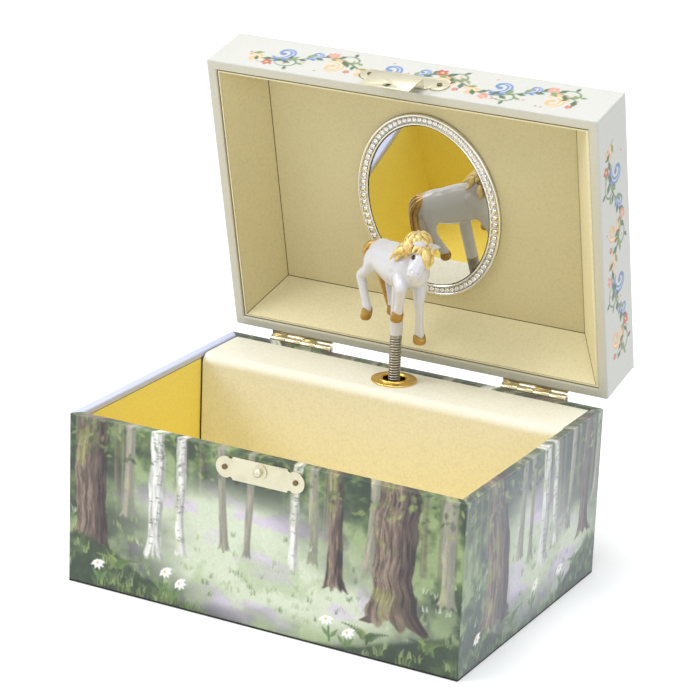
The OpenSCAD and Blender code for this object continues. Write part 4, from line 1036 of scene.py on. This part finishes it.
# Each dressed piece's name, node, metal, body, bevel in millimetres, bevel segments and slot
DRESSED = [
    ("hinge_leaves_case", "base_hinge_leaves", nickel, "base", 0.12, 2, "bright_brass"),
    ("hinge_leaves_lid", "lid_hinge_leaves", nickel, "lid", 0.12, 2, "bright_brass"),
    ("hinge_nails_case", "base_hinge_nails", nickel, "base", 0.15, 2, "bright_brass"),
    ("hinge_nails_lid", "lid_hinge_nails", nickel, "lid", 0.15, 2, "bright_brass"),
    ("catch_face", "catch_plate", pale_brass, "base", 0.15, 3, "bright_brass"),
    ("catch_button", "catch_knob", pale_brass, "base", 0.1, 2, "bright_brass"),
    ("catch_face_nails", "catch_nails", nail_brass_painted_shade, "base", 0.15, 3, "bright_brass"),
    ("latch_face", "latch_plate", pale_brass, "lid", 0.1, 2, "bright_brass"),
    ("latch_face_nails", "latch_nails", nail_brass_painted_shade, "lid", 0.15, 3, "bright_brass"),
    ("key", "winding_key", brass, "drive", 0.3, 3, "key_metal"),
]
for row in DRESSED:
    dressed(*row)

# ---------- liner cards ----------


def inset_outline(corners, normal, inset):
    """Corners of a flat convex outline moved in by a distance from both of their edges."""
    ahead = np.roll(corners, -1, 0) - corners
    ahead /= np.linalg.norm(ahead, axis=1, keepdims=True)
    inward = np.cross(normal, ahead)
    before = np.roll(inward, 1, 0)
    return corners + inset * (inward + before) / (1 + np.sum(inward * before, 1))[:, None]


CARD = 0.15
CARD_GAP = 0.22
CARD_SINK = 0.05
SMALLEST_WALL = 400
DRAW_RIGHT = 3.6
LIP_REACH = 0.42
LIP_REACH_RIGHT = 0.76
LIP_PROUD = 0.1
LIP_OVERLAP = 0.1
LIP_BAND = 0.2


def tray_opening(node):
    """Direction that a tray-shaped node opens towards: away from its largest face, its outside bottom."""
    return -np.array(max(nodes[node].data.polygons, key=lambda face: face.area).normal)


def lined(name, points, faces, material):
    """Piece of the lid's liner."""
    piece = mesh_piece(name, points, [], material, faces, smooth=False)
    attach(piece, "lid")


def cards(name, node, material, wanted):
    """Thin cards on the wanted walls inside a tray-shaped node, set in so that dark creases stay between.
    A card is its wall's outline at three heights, the last set in by half the thickness. The deep corners on
    the right are drawn in."""
    shape = bmesh.new()
    shape.from_mesh(nodes[node].data)
    bmesh.ops.remove_doubles(shape, verts=shape.verts, dist=1e-6)
    bmesh.ops.dissolve_limit(shape, angle_limit=FLAT_ANGLE, verts=shape.verts, edges=shape.edges)
    middle = np.mean([v.co for v in shape.verts], 0) / MM
    opening = tray_opening(node)
    points, faces = [], []
    for face in shape.faces:
        normal, corners = np.array(face.normal), np.array([v.co for v in face.verts]) / MM
        large = face.calc_area() / MM**2 >= SMALLEST_WALL and len(corners) <= 6
        if not large or normal @ (middle - corners.mean(0)) < 0 or not wanted(normal):
            continue
        deep = (corners - middle) @ opening < 0
        corners[deep & (corners[:, 0] > 0), 0] -= DRAW_RIGHT
        normal = np.cross(corners[1] - corners[0], corners[2] - corners[1])
        normal /= np.linalg.norm(normal)
        count, start = len(corners), sum(len(p) for p in points)
        for inset, height in ((0, -CARD_SINK), (0, CARD / 2), (CARD / 2, CARD)):
            points.append(inset_outline(corners, normal, CARD_GAP + inset) + normal * height)
        for ring in (0, 1):
            a = start + ring * count + np.arange(count)
            faces += np.stack([a, np.roll(a, -1), np.roll(a, -1) + count, a + count], 1).tolist()
        faces.append(list(range(start + count - 1, start - 1, -1)))
        faces.append(list(range(start + 2 * count, start + 3 * count)))
    shape.free()
    lined(name, np.concatenate(points), faces, material)


def lit(normal):
    """Whether a card faces up or to the left, where the lining gets its paler copy as painted light for the
    light that falls there.
    """
    return normal[2] > 0.5 or normal[0] < -0.5


def lip(name, node, material):
    """Cut edge of a tray-shaped node: a flat frame on its rim, with a dark gap left around three sides.
    Its section is a rectangle, carried round the rim's four corners."""
    points = np.array([v.co for v in nodes[node].data.vertices]) / MM
    across, opening = np.array([1.0, 0, 0]), tray_opening(node)
    side = np.cross(opening, across)
    top = np.max(points @ opening)
    rim = points[points @ opening > top - LIP_BAND]
    middle = (np.min(rim @ side) + np.max(rim @ side)) / 2
    half_x, half_side = np.min(np.abs(rim[:, 0])), np.min(np.abs(rim @ side - middle))
    way = np.array([[-1, -1], [1, -1], [1, 1], [-1, 1]])
    inner = way * (half_x - LIP_OVERLAP, half_side - LIP_OVERLAP)
    outer = inner + way * (LIP_REACH + LIP_OVERLAP)
    outer[1:3, 0] += LIP_REACH_RIGHT - LIP_REACH
    flat = np.concatenate([inner, outer, outer, inner])
    height = top + np.repeat([-CARD_SINK, -CARD_SINK, LIP_PROUD, LIP_PROUD], 4)[:, None]
    points = flat[:, :1] * across + (middle + flat[:, 1:]) * side + height * opening
    lined(name, points, grid_faces(4, 4, True, True).tolist(), material)


cards("lid_liner_cards", "lid_liner", liner_card, lambda normal: not lit(normal))
cards("lid_liner_painted_lit_cards", "lid_liner", liner_painted_lit, lit)
lip("lid_liner_lip", "lid_liner", liner_painted_lit)

# ---------- mirror frame ----------


def swept_oval(outline, half_x, half_y, base_z, count=192):
    """Outline of (distance in from the edge, height) carried round an ellipse along its own normal."""
    t = np.linspace(0, 2 * np.pi, count, endpoint=False)[:, None]
    nx, ny = np.cos(t) * half_y, np.sin(t) * half_x
    size = np.hypot(nx, ny)
    inward, height = outline[:, 0][None, :], outline[:, 1][None, :]
    x, y = half_x * np.cos(t) - nx / size * inward, half_y * np.sin(t) - ny / size * inward
    z = base_z - height + 0 * x
    return np.stack([x, y, z], -1)


LINER = 0.8
MIRROR_TALL = 73
BEADS = 78
BEAD_SIDES = 12
BEAD_IN = 2.1
BEAD_FOOT = 0.8


def bead():
    """Dimpled bead: an outline of (radius, height) turned about its axis. Its ends meet in one point."""
    outline = np.array([[0, 0.62], [0.18, 0.64], [0.34, 0.84], [0.5, 0.88], [0.68, 0.74], [0.78, 0.4],
                        [0.78, -0.1], [0, -0.12]])
    turn = np.linspace(0, 2 * np.pi, BEAD_SIDES, endpoint=False)
    points = np.stack([np.outer(outline[:, 0], np.cos(turn)), np.outer(outline[:, 0], np.sin(turn)),
                       np.repeat(-outline[:, 1:], BEAD_SIDES, 1)], -1)
    return points.reshape(-1, 3), grid_faces(len(outline), BEAD_SIDES, False, True)


def mirror_ring():
    """Silvered frame: a rounded outer rim, a hollow channel with a row of beads, and a raised inner rim."""
    low, high = node_box("mirror_frame")
    face = LID_TOP - PAPER - BOARD - LINER
    half_x, half_y = (high - low)[0] / 2, MIRROR_TALL / 2
    a = np.linspace(0, np.pi, 7)
    rim = np.stack([0.45 - 0.45 * np.cos(a), 1.4 + 0.4 * np.sin(a)], 1)
    channel = np.array([[1.0, 1.1], [1.12, 0.75], [3.08, 0.75], [3.2, 1.1]])
    inner_rim = np.stack([3.75 - 0.4 * np.cos(a), 1.4 + 0.6 * np.sin(a)], 1)
    slope = np.array([[4.2, 1.2], [4.4, 0.9], [4.4, 0.0], [0.0, 0.0]])
    ring = swept_oval(np.concatenate([rim, channel, inner_rim, slope]), half_x, half_y, face)
    rows, columns = ring.shape[:2]
    centre = swept_oval(np.array([[BEAD_IN, BEAD_FOOT]]), half_x, half_y, face, BEADS)[:, 0]
    one, one_faces = bead()
    beads = (centre[:, None] + one[None]).reshape(-1, 3)
    offsets = rows * columns + np.arange(BEADS)[:, None, None] * len(one)
    bead_faces = (one_faces[None] + offsets).reshape(-1, 4)
    faces = np.concatenate([grid_faces(rows, columns, True, True), bead_faces])
    piece = mesh_piece("mirror_rim", opened(np.concatenate([ring.reshape(-1, 3), beads])), faces, silvered)
    sealed(piece)
    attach(piece, "lid")
    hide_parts("mirror_frame")


mirror_ring()

# ---------- spring ----------


def coil(radius, wire, low, high, turns, around=8, per_turn=22):
    """Round wire carried along a helix; its first and last half turns lie flat and its ends are closed."""
    t = np.linspace(0, turns, int(turns * per_turn))
    rise = np.clip((t - 0.5) / (turns - 1), 0, 1)
    a = t * 2 * np.pi
    z = low + wire / 2 + (high - low - wire) * rise
    ring = np.linspace(0, 2 * np.pi, around, endpoint=False)
    out = radius + wire / 2 * np.cos(ring)[None, :]
    x, y = out * np.cos(a)[:, None], out * np.sin(a)[:, None]
    points = np.stack([x, y, z[:, None] + wire / 2 * np.sin(ring)[None, :]], -1)
    points[..., :2] += SPINDLE
    faces = grid_faces(len(t), around, wrap_columns=True)[:, ::-1]
    last = (len(t) - 1) * around
    caps = [list(range(around)), list(range(last + around - 1, last - 1, -1))]
    return mesh_piece("coil_spring", points, faces, spring_wire, caps)


WIRE = 0.8
TURNS = 25

spring_low, spring_high = node_box("figure_spring")
spring = coil((spring_high - spring_low)[0] / 2 - WIRE / 2, WIRE, spring_low[2], spring_high[2], TURNS)
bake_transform(spring)
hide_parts("figure_spring")

# ---------- horse, drawn with X along its heading, Y to its left and Z up from the cover ----------


def horse_place(points):
    """Points of the horse's own frame in the object's frame."""
    p = np.asarray(points, float).reshape(-1, 3)
    s, c = np.sin(HORSE_TURN), np.cos(HORSE_TURN)
    return np.stack([p[:, 0] * c - p[:, 1] * s + SPINDLE[0], p[:, 0] * s + p[:, 1] * c + SPINDLE[1],
                     p[:, 2] + COVER_TOP], 1)


def spline(rows, count):
    """Smooth line through the rows: a cubic between each two, its slopes from the rows on either side."""
    rows = np.asarray(rows, float)
    padded = np.concatenate([2 * rows[:1] - rows[1:2], rows, 2 * rows[-1:] - rows[-2:-1]])
    t = np.linspace(0, len(rows) - 1, count)
    k = np.clip(t.astype(int), 0, len(rows) - 2)
    u = (t - k)[:, None]
    a, b, c, d = (padded[k + i] for i in range(4))
    return 0.5 * (2 * b + (c - a) * u + (2 * a - 5 * b + 4 * c - d) * u**2 + (3 * b - a - 3 * c + d) * u**3)


ROUNDING = 5


def tube(name, rows, material=None, side=(0, 1, 0), count=26, around=20):
    """Oval section carried along a smooth line, with round ends. A row is x, y, z, half width, half depth,
    and the width lies along the side direction as far as the line allows."""
    line = spline(rows, count)
    centre, half = line[:, :3], np.maximum(line[:, 3:], 0.08)
    along = np.gradient(centre, axis=0)
    along /= np.linalg.norm(along, axis=1, keepdims=True)
    wide = np.asarray(side, float) - along * (along @ np.asarray(side, float))[:, None]
    wide /= np.linalg.norm(wide, axis=1, keepdims=True)
    deep = np.cross(along, wide)
    s = np.sin(np.linspace(1, 0.06, ROUNDING + 1)[:-1] * np.pi / 2)[:, None]
    c = np.sqrt(1 - s**2)
    centre = np.concatenate([centre[0] - along[0] * half[0].min() * s, centre,
                             centre[-1] + along[-1] * half[-1].min() * s[::-1]])
    half = np.concatenate([half[0] * c + 1e-3, half, half[-1] * c[::-1] + 1e-3])
    wide, deep = (np.concatenate([np.repeat(v[:1], ROUNDING, 0), v, np.repeat(v[-1:], ROUNDING, 0)])
                  for v in (wide, deep))
    a = np.linspace(0, 2 * np.pi, around, endpoint=False)
    points = (centre[:, None] + half[:, None, :1] * np.cos(a)[None, :, None] * wide[:, None]
              + half[:, None, 1:] * np.sin(a)[None, :, None] * deep[:, None])
    faces = grid_faces(len(centre), around, wrap_columns=True)
    end = (len(centre) - 1) * around
    caps = [list(range(around))[::-1], list(range(end, end + around))]
    return mesh_piece(name, horse_place(points), faces, material or white_resin, caps)


def moulded(name, pieces, voxel, smooth, factor=0.5):
    """Several closed forms grown into one skin, then smoothed so that they flow into each other."""
    piece = joined(name, pieces)
    apply_modifier(piece, "REMESH", mode="VOXEL", voxel_size=voxel * MM, use_smooth_shade=True)
    apply_modifier(piece, "SMOOTH", factor=factor, iterations=smooth)
    piece.data.polygons.foreach_set("use_smooth", np.ones(len(piece.data.polygons), bool))
    return piece


def press(piece, dents):
    """Moves the skin along its normals by height * exp(-(distance / radius)^2) about each given place."""
    count = len(piece.data.vertices)
    co, normal = np.empty(count * 3), np.empty(count * 3)
    piece.data.vertices.foreach_get("co", co)
    piece.data.vertices.foreach_get("normal", normal)
    co, normal = co.reshape(-1, 3), normal.reshape(-1, 3)
    for place, radius, height in dents:
        gap = np.linalg.norm(co / MM - horse_place(place), axis=1)
        co += normal * (height * MM * np.exp(-((gap / radius) ** 2)))[:, None]
    piece.data.vertices.foreach_set("co", co.ravel())
    piece.data.update()


POLL, MUZZLE = np.array([12.3, 2.1, 52.4]), np.array([15.8, -4.3, 44.9])
DOWN = (MUZZLE - POLL) / np.linalg.norm(MUZZLE - POLL)
EARS = np.array([0.35, 0.85, -0.2])
EARS = EARS - DOWN * (EARS @ DOWN)
EARS /= np.linalg.norm(EARS)
BROW = np.cross(DOWN, EARS)


def head_at(down, left, out):
    """Place on the head: a distance from the poll down the face, to its left, and out from the brow."""
    return POLL + DOWN * down + EARS * left + BROW * out


def head_row(down, out, wide, deep):
    return [*head_at(down, 0, out), wide, deep]


HOOVES = [
    ((9.0, 4.0, 18.9), (9.0, 4.15, 15.6)),
    ((8.0, -5.1, 28.4), (7.1, -5.0, 24.7)),
    ((-9.2, 4.2, 24.6), (-9.4, 4.2, 21.3)),
    ((-13.0, -4.1, 23.6), (-13.5, -4.6, 19.5)),
]


def horse_skin():
    """Body, neck, head and legs of a leggy foal."""
    pieces = [
        tube("barrel", [(-15.0, 0, 42.9, 3.2, 3.3), (-12.6, 0, 43.5, 5.2, 5.6), (-9.6, 0, 44.1, 5.9, 6.2),
                        (-6, 0, 43.4, 5.9, 7.3), (-2, 0, 43.1, 6.1, 8.0), (3, 0, 43.2, 6.2, 7.8),
                        (7, 0.2, 43.6, 6.2, 7.0), (10.2, 0.5, 43.0, 4.9, 5.4)], count=44, around=36),
        tube("withers", [(-2, 0, 47.8, 2.4, 2.6), (3, 0.1, 48.7, 2.6, 2.5), (6.6, 0.3, 49.6, 2.9, 2.8)]),
        tube("neck", [(6.2, 0.1, 45, 5.0, 6.2), (8.4, 0.2, 48.6, 4.1, 5.0), (10.2, 0.7, 51.4, 3.2, 4.0),
                      (11.2, 1.2, 53.2, 2.7, 3.2)], count=30, around=28),
        tube("skull", [head_row(-0.8, 0, 2.6, 2.6), head_row(1.8, 0.2, 3.2, 3.2),
                       head_row(4.0, 0.3, 3.3, 3.2), head_row(6.4, 0.2, 3.15, 2.9),
                       head_row(8.4, 0.1, 3.05, 2.7), head_row(10.0, 0, 2.95, 2.55),
                       head_row(10.9, -0.2, 2.5, 2.1)], side=EARS, count=36, around=32),
        tube("jaw", [head_row(1.0, -2.0, 2.6, 2.0), head_row(4.2, -2.3, 2.8, 2.1),
                     head_row(7.4, -1.3, 2.3, 1.7)], side=EARS),
        tube("right_arm", [(3.8, -3.0, 46.4, 2.2, 2.6), (5.0, -3.4, 43.0, 2.7, 3.5),
                           (7.8, -4.8, 40.0, 2.4, 2.7), (10.0, -5.5, 38.2, 2.15, 2.2),
                           (9.9, -5.5, 36.4, 1.9, 1.95)], count=34),
        tube("right_cannon", [(10.1, -5.5, 38.0, 1.95, 2.05), (9.8, -5.4, 35.2, 1.75, 1.85),
                              (9.1, -5.3, 31.8, 1.65, 1.7), (8.4, -5.2, 29.6, 1.8, 1.85),
                              (8.0, -5.1, 28.0, 1.6, 1.7)]),
        tube("left_arm", [(3.6, 3.4, 47.4, 2.2, 2.6), (6.4, 3.6, 43, 3.2, 4.2), (8.0, 3.4, 38.6, 2.8, 3.4),
                          (8.8, 3.2, 34.8, 2.35, 2.6), (9.2, 2.95, 30.8, 1.85, 1.95)], count=34),
        tube("left_cannon", [(9.2, 2.95, 31.2, 1.85, 1.95), (9.3, 3.2, 28.4, 1.6, 1.65),
                             (9.2, 3.6, 23.6, 1.55, 1.6), (9.0, 3.85, 20.6, 1.75, 1.85),
                             (9.0, 4.0, 18.2, 1.6, 1.7)]),
    ]
    for side, y, hock, foot in (("left", 3.0, (-12.8, 4.3, 34.9), HOOVES[2][0]),
                                ("right", -3.1, (-16.9, -4.9, 35.0), HOOVES[3][0])):
        hock, foot = np.array(hock), np.array(foot)
        bend = hock - (-13.6, 4.3 * np.sign(y), 35.2)
        pieces += [
            tube(side + "_thigh", [(-9.0, y * 0.95, 45, 2.7, 4.2),
                                   (*(bend * 0.2 + (-11.1, y * 1.15, 42.4)), 2.8, 4.0),
                                   (*(bend * 0.4 + (-12.5, y * 1.32, 38.6)), 2.0, 2.3),
                                   (*(hock + (0.5, 0, 1.2)), 1.75, 2.0), (*hock, 1.75, 2.1)], count=34),
            tube(side + "_hind_cannon", [(*(hock + (-0.1, 0, 0.3)), 1.75, 2.1),
                                         (*(hock * 0.72 + foot * 0.28), 1.6, 1.8),
                                         (*(hock * 0.3 + foot * 0.7), 1.5, 1.6),
                                         (*(hock * 0.1 + foot * 0.9), 1.65, 1.75), (*foot, 1.5, 1.6)]),
        ]
    skin = moulded("horse_skin", pieces, 0.3, 10)
    sockets = [(head_at(5.6, s * 3.0, 1.7), 1.2, -0.45) for s in (-1, 1)]
    nostrils = [(head_at(10.6, s * 1.5, 1.8), 0.55, -0.6) for s in (-1, 1)]
    mouth = [(head_at(12.5, s, 0.1), 0.6, -0.22) for s in (-1.6, -0.8, 0, 0.8, 1.6)]
    chest = [((10.4, 0.8, 38.4), 1.8, -0.6), ((4.6, -5.8, 42.6), 1.5, -0.5)]
    ridge = [((x, 0, z), 0.5, 0.16) for x, z in zip(np.linspace(-9, 3, 25), np.linspace(50.4, 51.2, 25))]
    press(skin, sockets + nostrils + mouth + chest + ridge)
    apply_modifier(skin, "SMOOTH", factor=0.4, iterations=2)
    return skin


EAR_ENDS = [((14.6, 0.4, 54.6), (13.9, -3.7, 55.2), 1.3), ((12.4, 4.3, 52.8), (12.0, 8.9, 51.9), 1.0)]


def ear(base, tip, full):
    """Leaf-shaped ear: an oval that widens, then comes to a point."""
    base, tip = np.array(base), np.array(tip)
    shape = ((0, 0.8, 0.6), (0.3, 1.15, 0.75), (0.65, 0.95, 0.6), (1, 0.3, 0.3))
    rows = [(*(base + (tip - base) * d), wide * full, deep * full) for d, wide, deep in shape]
    return tube("ear", rows, side=DOWN, count=16, around=16)


skin = horse_skin()
ears = moulded("horse_ears", [ear(*ends) for ends in EAR_ENDS], 0.18, 3)
eyes = joined("horse_eyes", [
    tube("eye", [(*head_at(5.0, s * 2.85, 1.75), 0.4, 0.4), (*head_at(5.9, s * 2.8, 1.85), 0.6, 0.6)],
         eye_paint, side=EARS, count=8, around=14) for s in (-1, 1)])
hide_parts("horse_body")
for piece in (skin, ears, eyes):
    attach(piece, "figure")


def lock(rows, thick, tip, wave):
    """Lock of hair: a smooth line through the rows with a slight wave, thickest a third of the way down."""
    line = spline(rows, 9)
    t = np.linspace(0, 1, 9)[:, None]
    swing = np.cross(line[-1] - line[0], line[4] - line[0])
    line = line + swing / (np.linalg.norm(swing) + 1e-6) * wave * np.sin(t * 2 * np.pi)
    size = thick * (0.6 + 0.4 * np.sin(np.pi * np.clip(t * 1.3, 0, 1))) * (1 - t**3) + tip * t**3
    return tube("lock", np.concatenate([line, size, size * 0.8], 1), mane_gold_painted_lit, count=22, around=12)


CROWN, SPREAD = np.array([10.8, 0.3, 53.6]), np.array([3.6, 4.8, 4.0])


def over_crown(fall, way):
    """Place on the round of hair over the poll: an angle down from its top, in a direction about it."""
    return CROWN + SPREAD * (np.sin(fall) * np.cos(way), np.sin(fall) * np.sin(way), np.cos(fall))


def mane():
    """Round crown of locks over the brow, with longer ones down both sides of the face and the neck."""
    pieces = [tube("crown", [(11.0, -3.6, 53.5, 2.4, 2.8), (10.8, -1.4, 53.9, 3.1, 3.6),
                             (10.7, 1.1, 53.8, 3.2, 3.7), (10.8, 3.4, 53.1, 2.7, 3.1),
                             (10.9, 4.8, 52.5, 1.7, 2.1)], mane_gold_painted_lit, side=(1, 0, 0))]
    for k in range(16):
        way = 2 * np.pi * k / 16 + 0.2
        falls = np.linspace(0.1, 1.75, 6)
        rows = [over_crown(fall, way + 0.5 * (fall - 0.6)) for fall in falls]
        pieces.append(lock(rows, 1.3, 0.55, 0.45 if k % 2 else -0.45))
    for k, s in enumerate((-3.1, -1.9, -0.7, 0.5, 1.8)):
        rows = [head_at(0.1, s * 0.8, 2.2), head_at(1.6, s, 3.3), head_at(3.2, s * 1.05 - 0.2, 3.35),
                head_at(4.5 - 0.3 * (k % 2), s * 1.1 - 0.4, 2.8)]
        pieces.append(lock(rows, 1.25, 0.45, 0.25 if k % 2 else -0.25))
    sweeps = [
        [(11.0, -3.4, 53.9), (9.2, -5.0, 52.4), (7.0, -6.3, 50.4), (4.5, -7.0, 47.6)],
        [(11.2, -3.6, 53.6), (9.6, -4.9, 51.9), (7.8, -5.6, 49.8), (5.8, -5.7, 47.3)],
        [(11.2, -3.6, 53.6), (10.0, -4.6, 51.9), (8.4, -4.8, 49.6), (6.5, -4.5, 47.3)],
        [(11.6, -3.2, 53.2), (10.7, -3.9, 51.7), (9.6, -3.8, 50.0), (8.0, -3.3, 48.5)],
        [head_at(1.6, -0.4, 3.3), head_at(3.8, 0.7, 3.4), head_at(5.5, 2.6, 2.4), head_at(6.5, 4.2, 0.4)],
        [head_at(1.2, 1.8, 2.8), head_at(3.2, 3.2, 2.4), head_at(4.4, 3.8, 1.0), head_at(5.2, 4.0, -0.8)],
        [(12.0, 4.2, 53.0), (12.4, 5.4, 51.2), (12.6, 5.3, 49.6), (12.6, 4.5, 48.2)],
        [(10.8, 4.7, 53.2), (10.6, 6.2, 51.6), (10.2, 6.3, 49.9), (9.8, 5.8, 48.4)],
        [(9.4, 4.2, 53.6), (8.4, 5.7, 52.0), (7.6, 6.2, 50.2), (7.2, 6.0, 48.8)],
        [(9.8, -2.6, 54.2), (7.6, -4.0, 52.5), (5.6, -4.9, 50.6), (3.8, -5.4, 49.0)],
        [(9.2, -1.4, 55.0), (7.0, -2.5, 53.4), (5.2, -3.2, 52.0), (3.6, -3.6, 50.8)],
        [(8.8, 1.0, 55.2), (6.6, 1.2, 53.8), (4.8, 1.8, 52.6), (3.2, 2.4, 51.4)],
        [(8.6, 0.2, 55.0), (6.2, -0.4, 53.5), (4.2, -0.8, 52.5), (2.4, -1.2, 51.6)],
    ]
    for k, rows in enumerate(sweeps):
        pieces.append(lock(rows, 1.9 if k in (0, 4) else 1.45, 0.4, 0.35 if k % 2 else -0.35))
    return moulded("horse_mane_locks", pieces, 0.2, 2, 0.4)


def tail():
    """Full tail of seven strands that rises from the croup, fans out over the hocks and hangs to one side."""
    pieces = []
    for k, dy in enumerate((-2.6, -1.8, -0.9, 0, 0.9, 1.8, 2.5)):
        r, dx = 1.25 - 0.07 * abs(dy), 0.5 * (-1) ** k
        rows = [(-9.8, 0.15 * dy, 48.4, 1.0, 0.9), (-12.8, 0.5 * dy - 0.3, 48.4, r, r * 0.9),
                (-15.6 + dx, dy - 0.6, 46.9, r * 1.15, r * 1.1),
                (-17.6 + dx, dy - 0.3, 43.4, r * 1.25, r * 1.1),
                (-18.0 + dx, 0.8 * dy + 3.6, 38.4, r * 1.1, r), (-17.2 + dx, 0.8 * dy + 5.9, 33.0, r, r),
                (-16.0 + dx * 0.6, 0.5 * dy + 6.4, 27.6, r * 0.8, r * 0.75),
                (-14.4, 6.1 + 0.1 * dy, 22.4, 0.35, 0.3)]
        pieces.append(tube("strand", rows, tail_gold_painted_shade, count=44, around=14))
    return moulded("horse_tail_hair", pieces, 0.22, 2, 0.4)


def painted_crevice_shade(piece, bright, dark, low=-0.06, high=0.1):
    """Paints shade into the skin's hollows: a point's colour runs from the bright tone at low to the dark,
    painted-shade tone at high by how hollow the skin is there: the mean of normal . (neighbour - point) /
    distance over its neighbours, evened a little."""
    mesh = piece.data
    count = len(mesh.vertices)
    co, normal, ends = np.empty(count * 3), np.empty(count * 3), np.empty(len(mesh.edges) * 2, int)
    mesh.vertices.foreach_get("co", co)
    mesh.vertices.foreach_get("normal", normal)
    mesh.edges.foreach_get("vertices", ends)
    co, normal, (a, b) = co.reshape(-1, 3), normal.reshape(-1, 3), ends.reshape(-1, 2).T
    gap = co[b] - co[a]
    gap /= np.linalg.norm(gap, axis=1, keepdims=True)
    number = np.bincount(a, minlength=count) + np.bincount(b, minlength=count)
    rise_a, rise_b = (gap * normal[a]).sum(1), (gap * normal[b]).sum(1)
    hollow = (np.bincount(a, rise_a, count) - np.bincount(b, rise_b, count)) / number
    for _ in range(2):
        around = np.bincount(a, hollow[b], count) + np.bincount(b, hollow[a], count)
        hollow = 0.5 * hollow + 0.5 * around / number
    colours = np.ones((count, 4), np.float32)
    share = np.clip((hollow - low) / (high - low), 0, 1)[:, None]
    colours[:, :3] = bright + (dark - bright) * share
    for name in [layer.name for layer in mesh.color_attributes]:
        mesh.color_attributes.remove(mesh.color_attributes[name])
    mesh.color_attributes.new("paint", "FLOAT_COLOR", "POINT").data.foreach_set("color", colours.ravel())


HOOF_RINGS = ((-0.05, 0.72), (-0.12, 0.84), (0.05, 0.94), (0.35, 1.0), (0.65, 1.0), (0.85, 0.88),
              (0.97, 0.62), (1.0, 0.3))
HOOF_SIDES = 28
HOOF_WIDTHS = (2.35, 2.3, 2.0, 2.05)


def hoof(top, bottom, wide):
    """Hoof that widens to a flat sole, of rings at a share of its height and of its half width. Its upper
    edge rises at the sides: height + rise * (sin(a)^2 - dip)."""
    top, bottom = np.array(top), np.array(bottom)
    a = np.linspace(0, 2 * np.pi, HOOF_SIDES, endpoint=False)
    t, r = np.array(HOOF_RINGS).T[:, :, None]
    centre = top + (bottom - top) * t
    rise = np.maximum(0.4 - t, 0) * 2.2
    points = np.stack([centre[:, :1] + wide * 1.06 * r * np.cos(a), centre[:, 1:2] + wide * r * np.sin(a),
                       centre[:, 2:] + rise * (np.sin(a) ** 2 - 0.62)], -1)
    rows = len(HOOF_RINGS)
    caps = [list(range(HOOF_SIDES))[::-1], list(range((rows - 1) * HOOF_SIDES, rows * HOOF_SIDES))]
    faces = grid_faces(rows, HOOF_SIDES, wrap_columns=True)
    piece = mesh_piece("hoof", horse_place(points), faces, hoof_gold_painted_shade, caps)
    apply_modifier(piece, "SUBSURF", levels=1)
    return piece


locks = mane()
# Painted shade in the hollows between the mane's locks; both tones are paler than the tail's, as painted
# light on the lit crown
painted_crevice_shade(locks, paint(252, 226, 150), paint(150, 98, 36))
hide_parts("horse_mane")
hair = tail()
# Painted shade in the hollows between the tail's strands; both tones are darker than the mane's, as painted
# shade on the tail behind the body
painted_crevice_shade(hair, paint(214, 172, 92), paint(66, 42, 14), high=0.07)
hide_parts("horse_tail")
feet = joined("horse_hooves_gold", [hoof(*ends, wide) for ends, wide in zip(HOOVES, HOOF_WIDTHS)])
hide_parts("horse_hooves")
for piece in (locks, hair, feet):
    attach(piece, "figure")
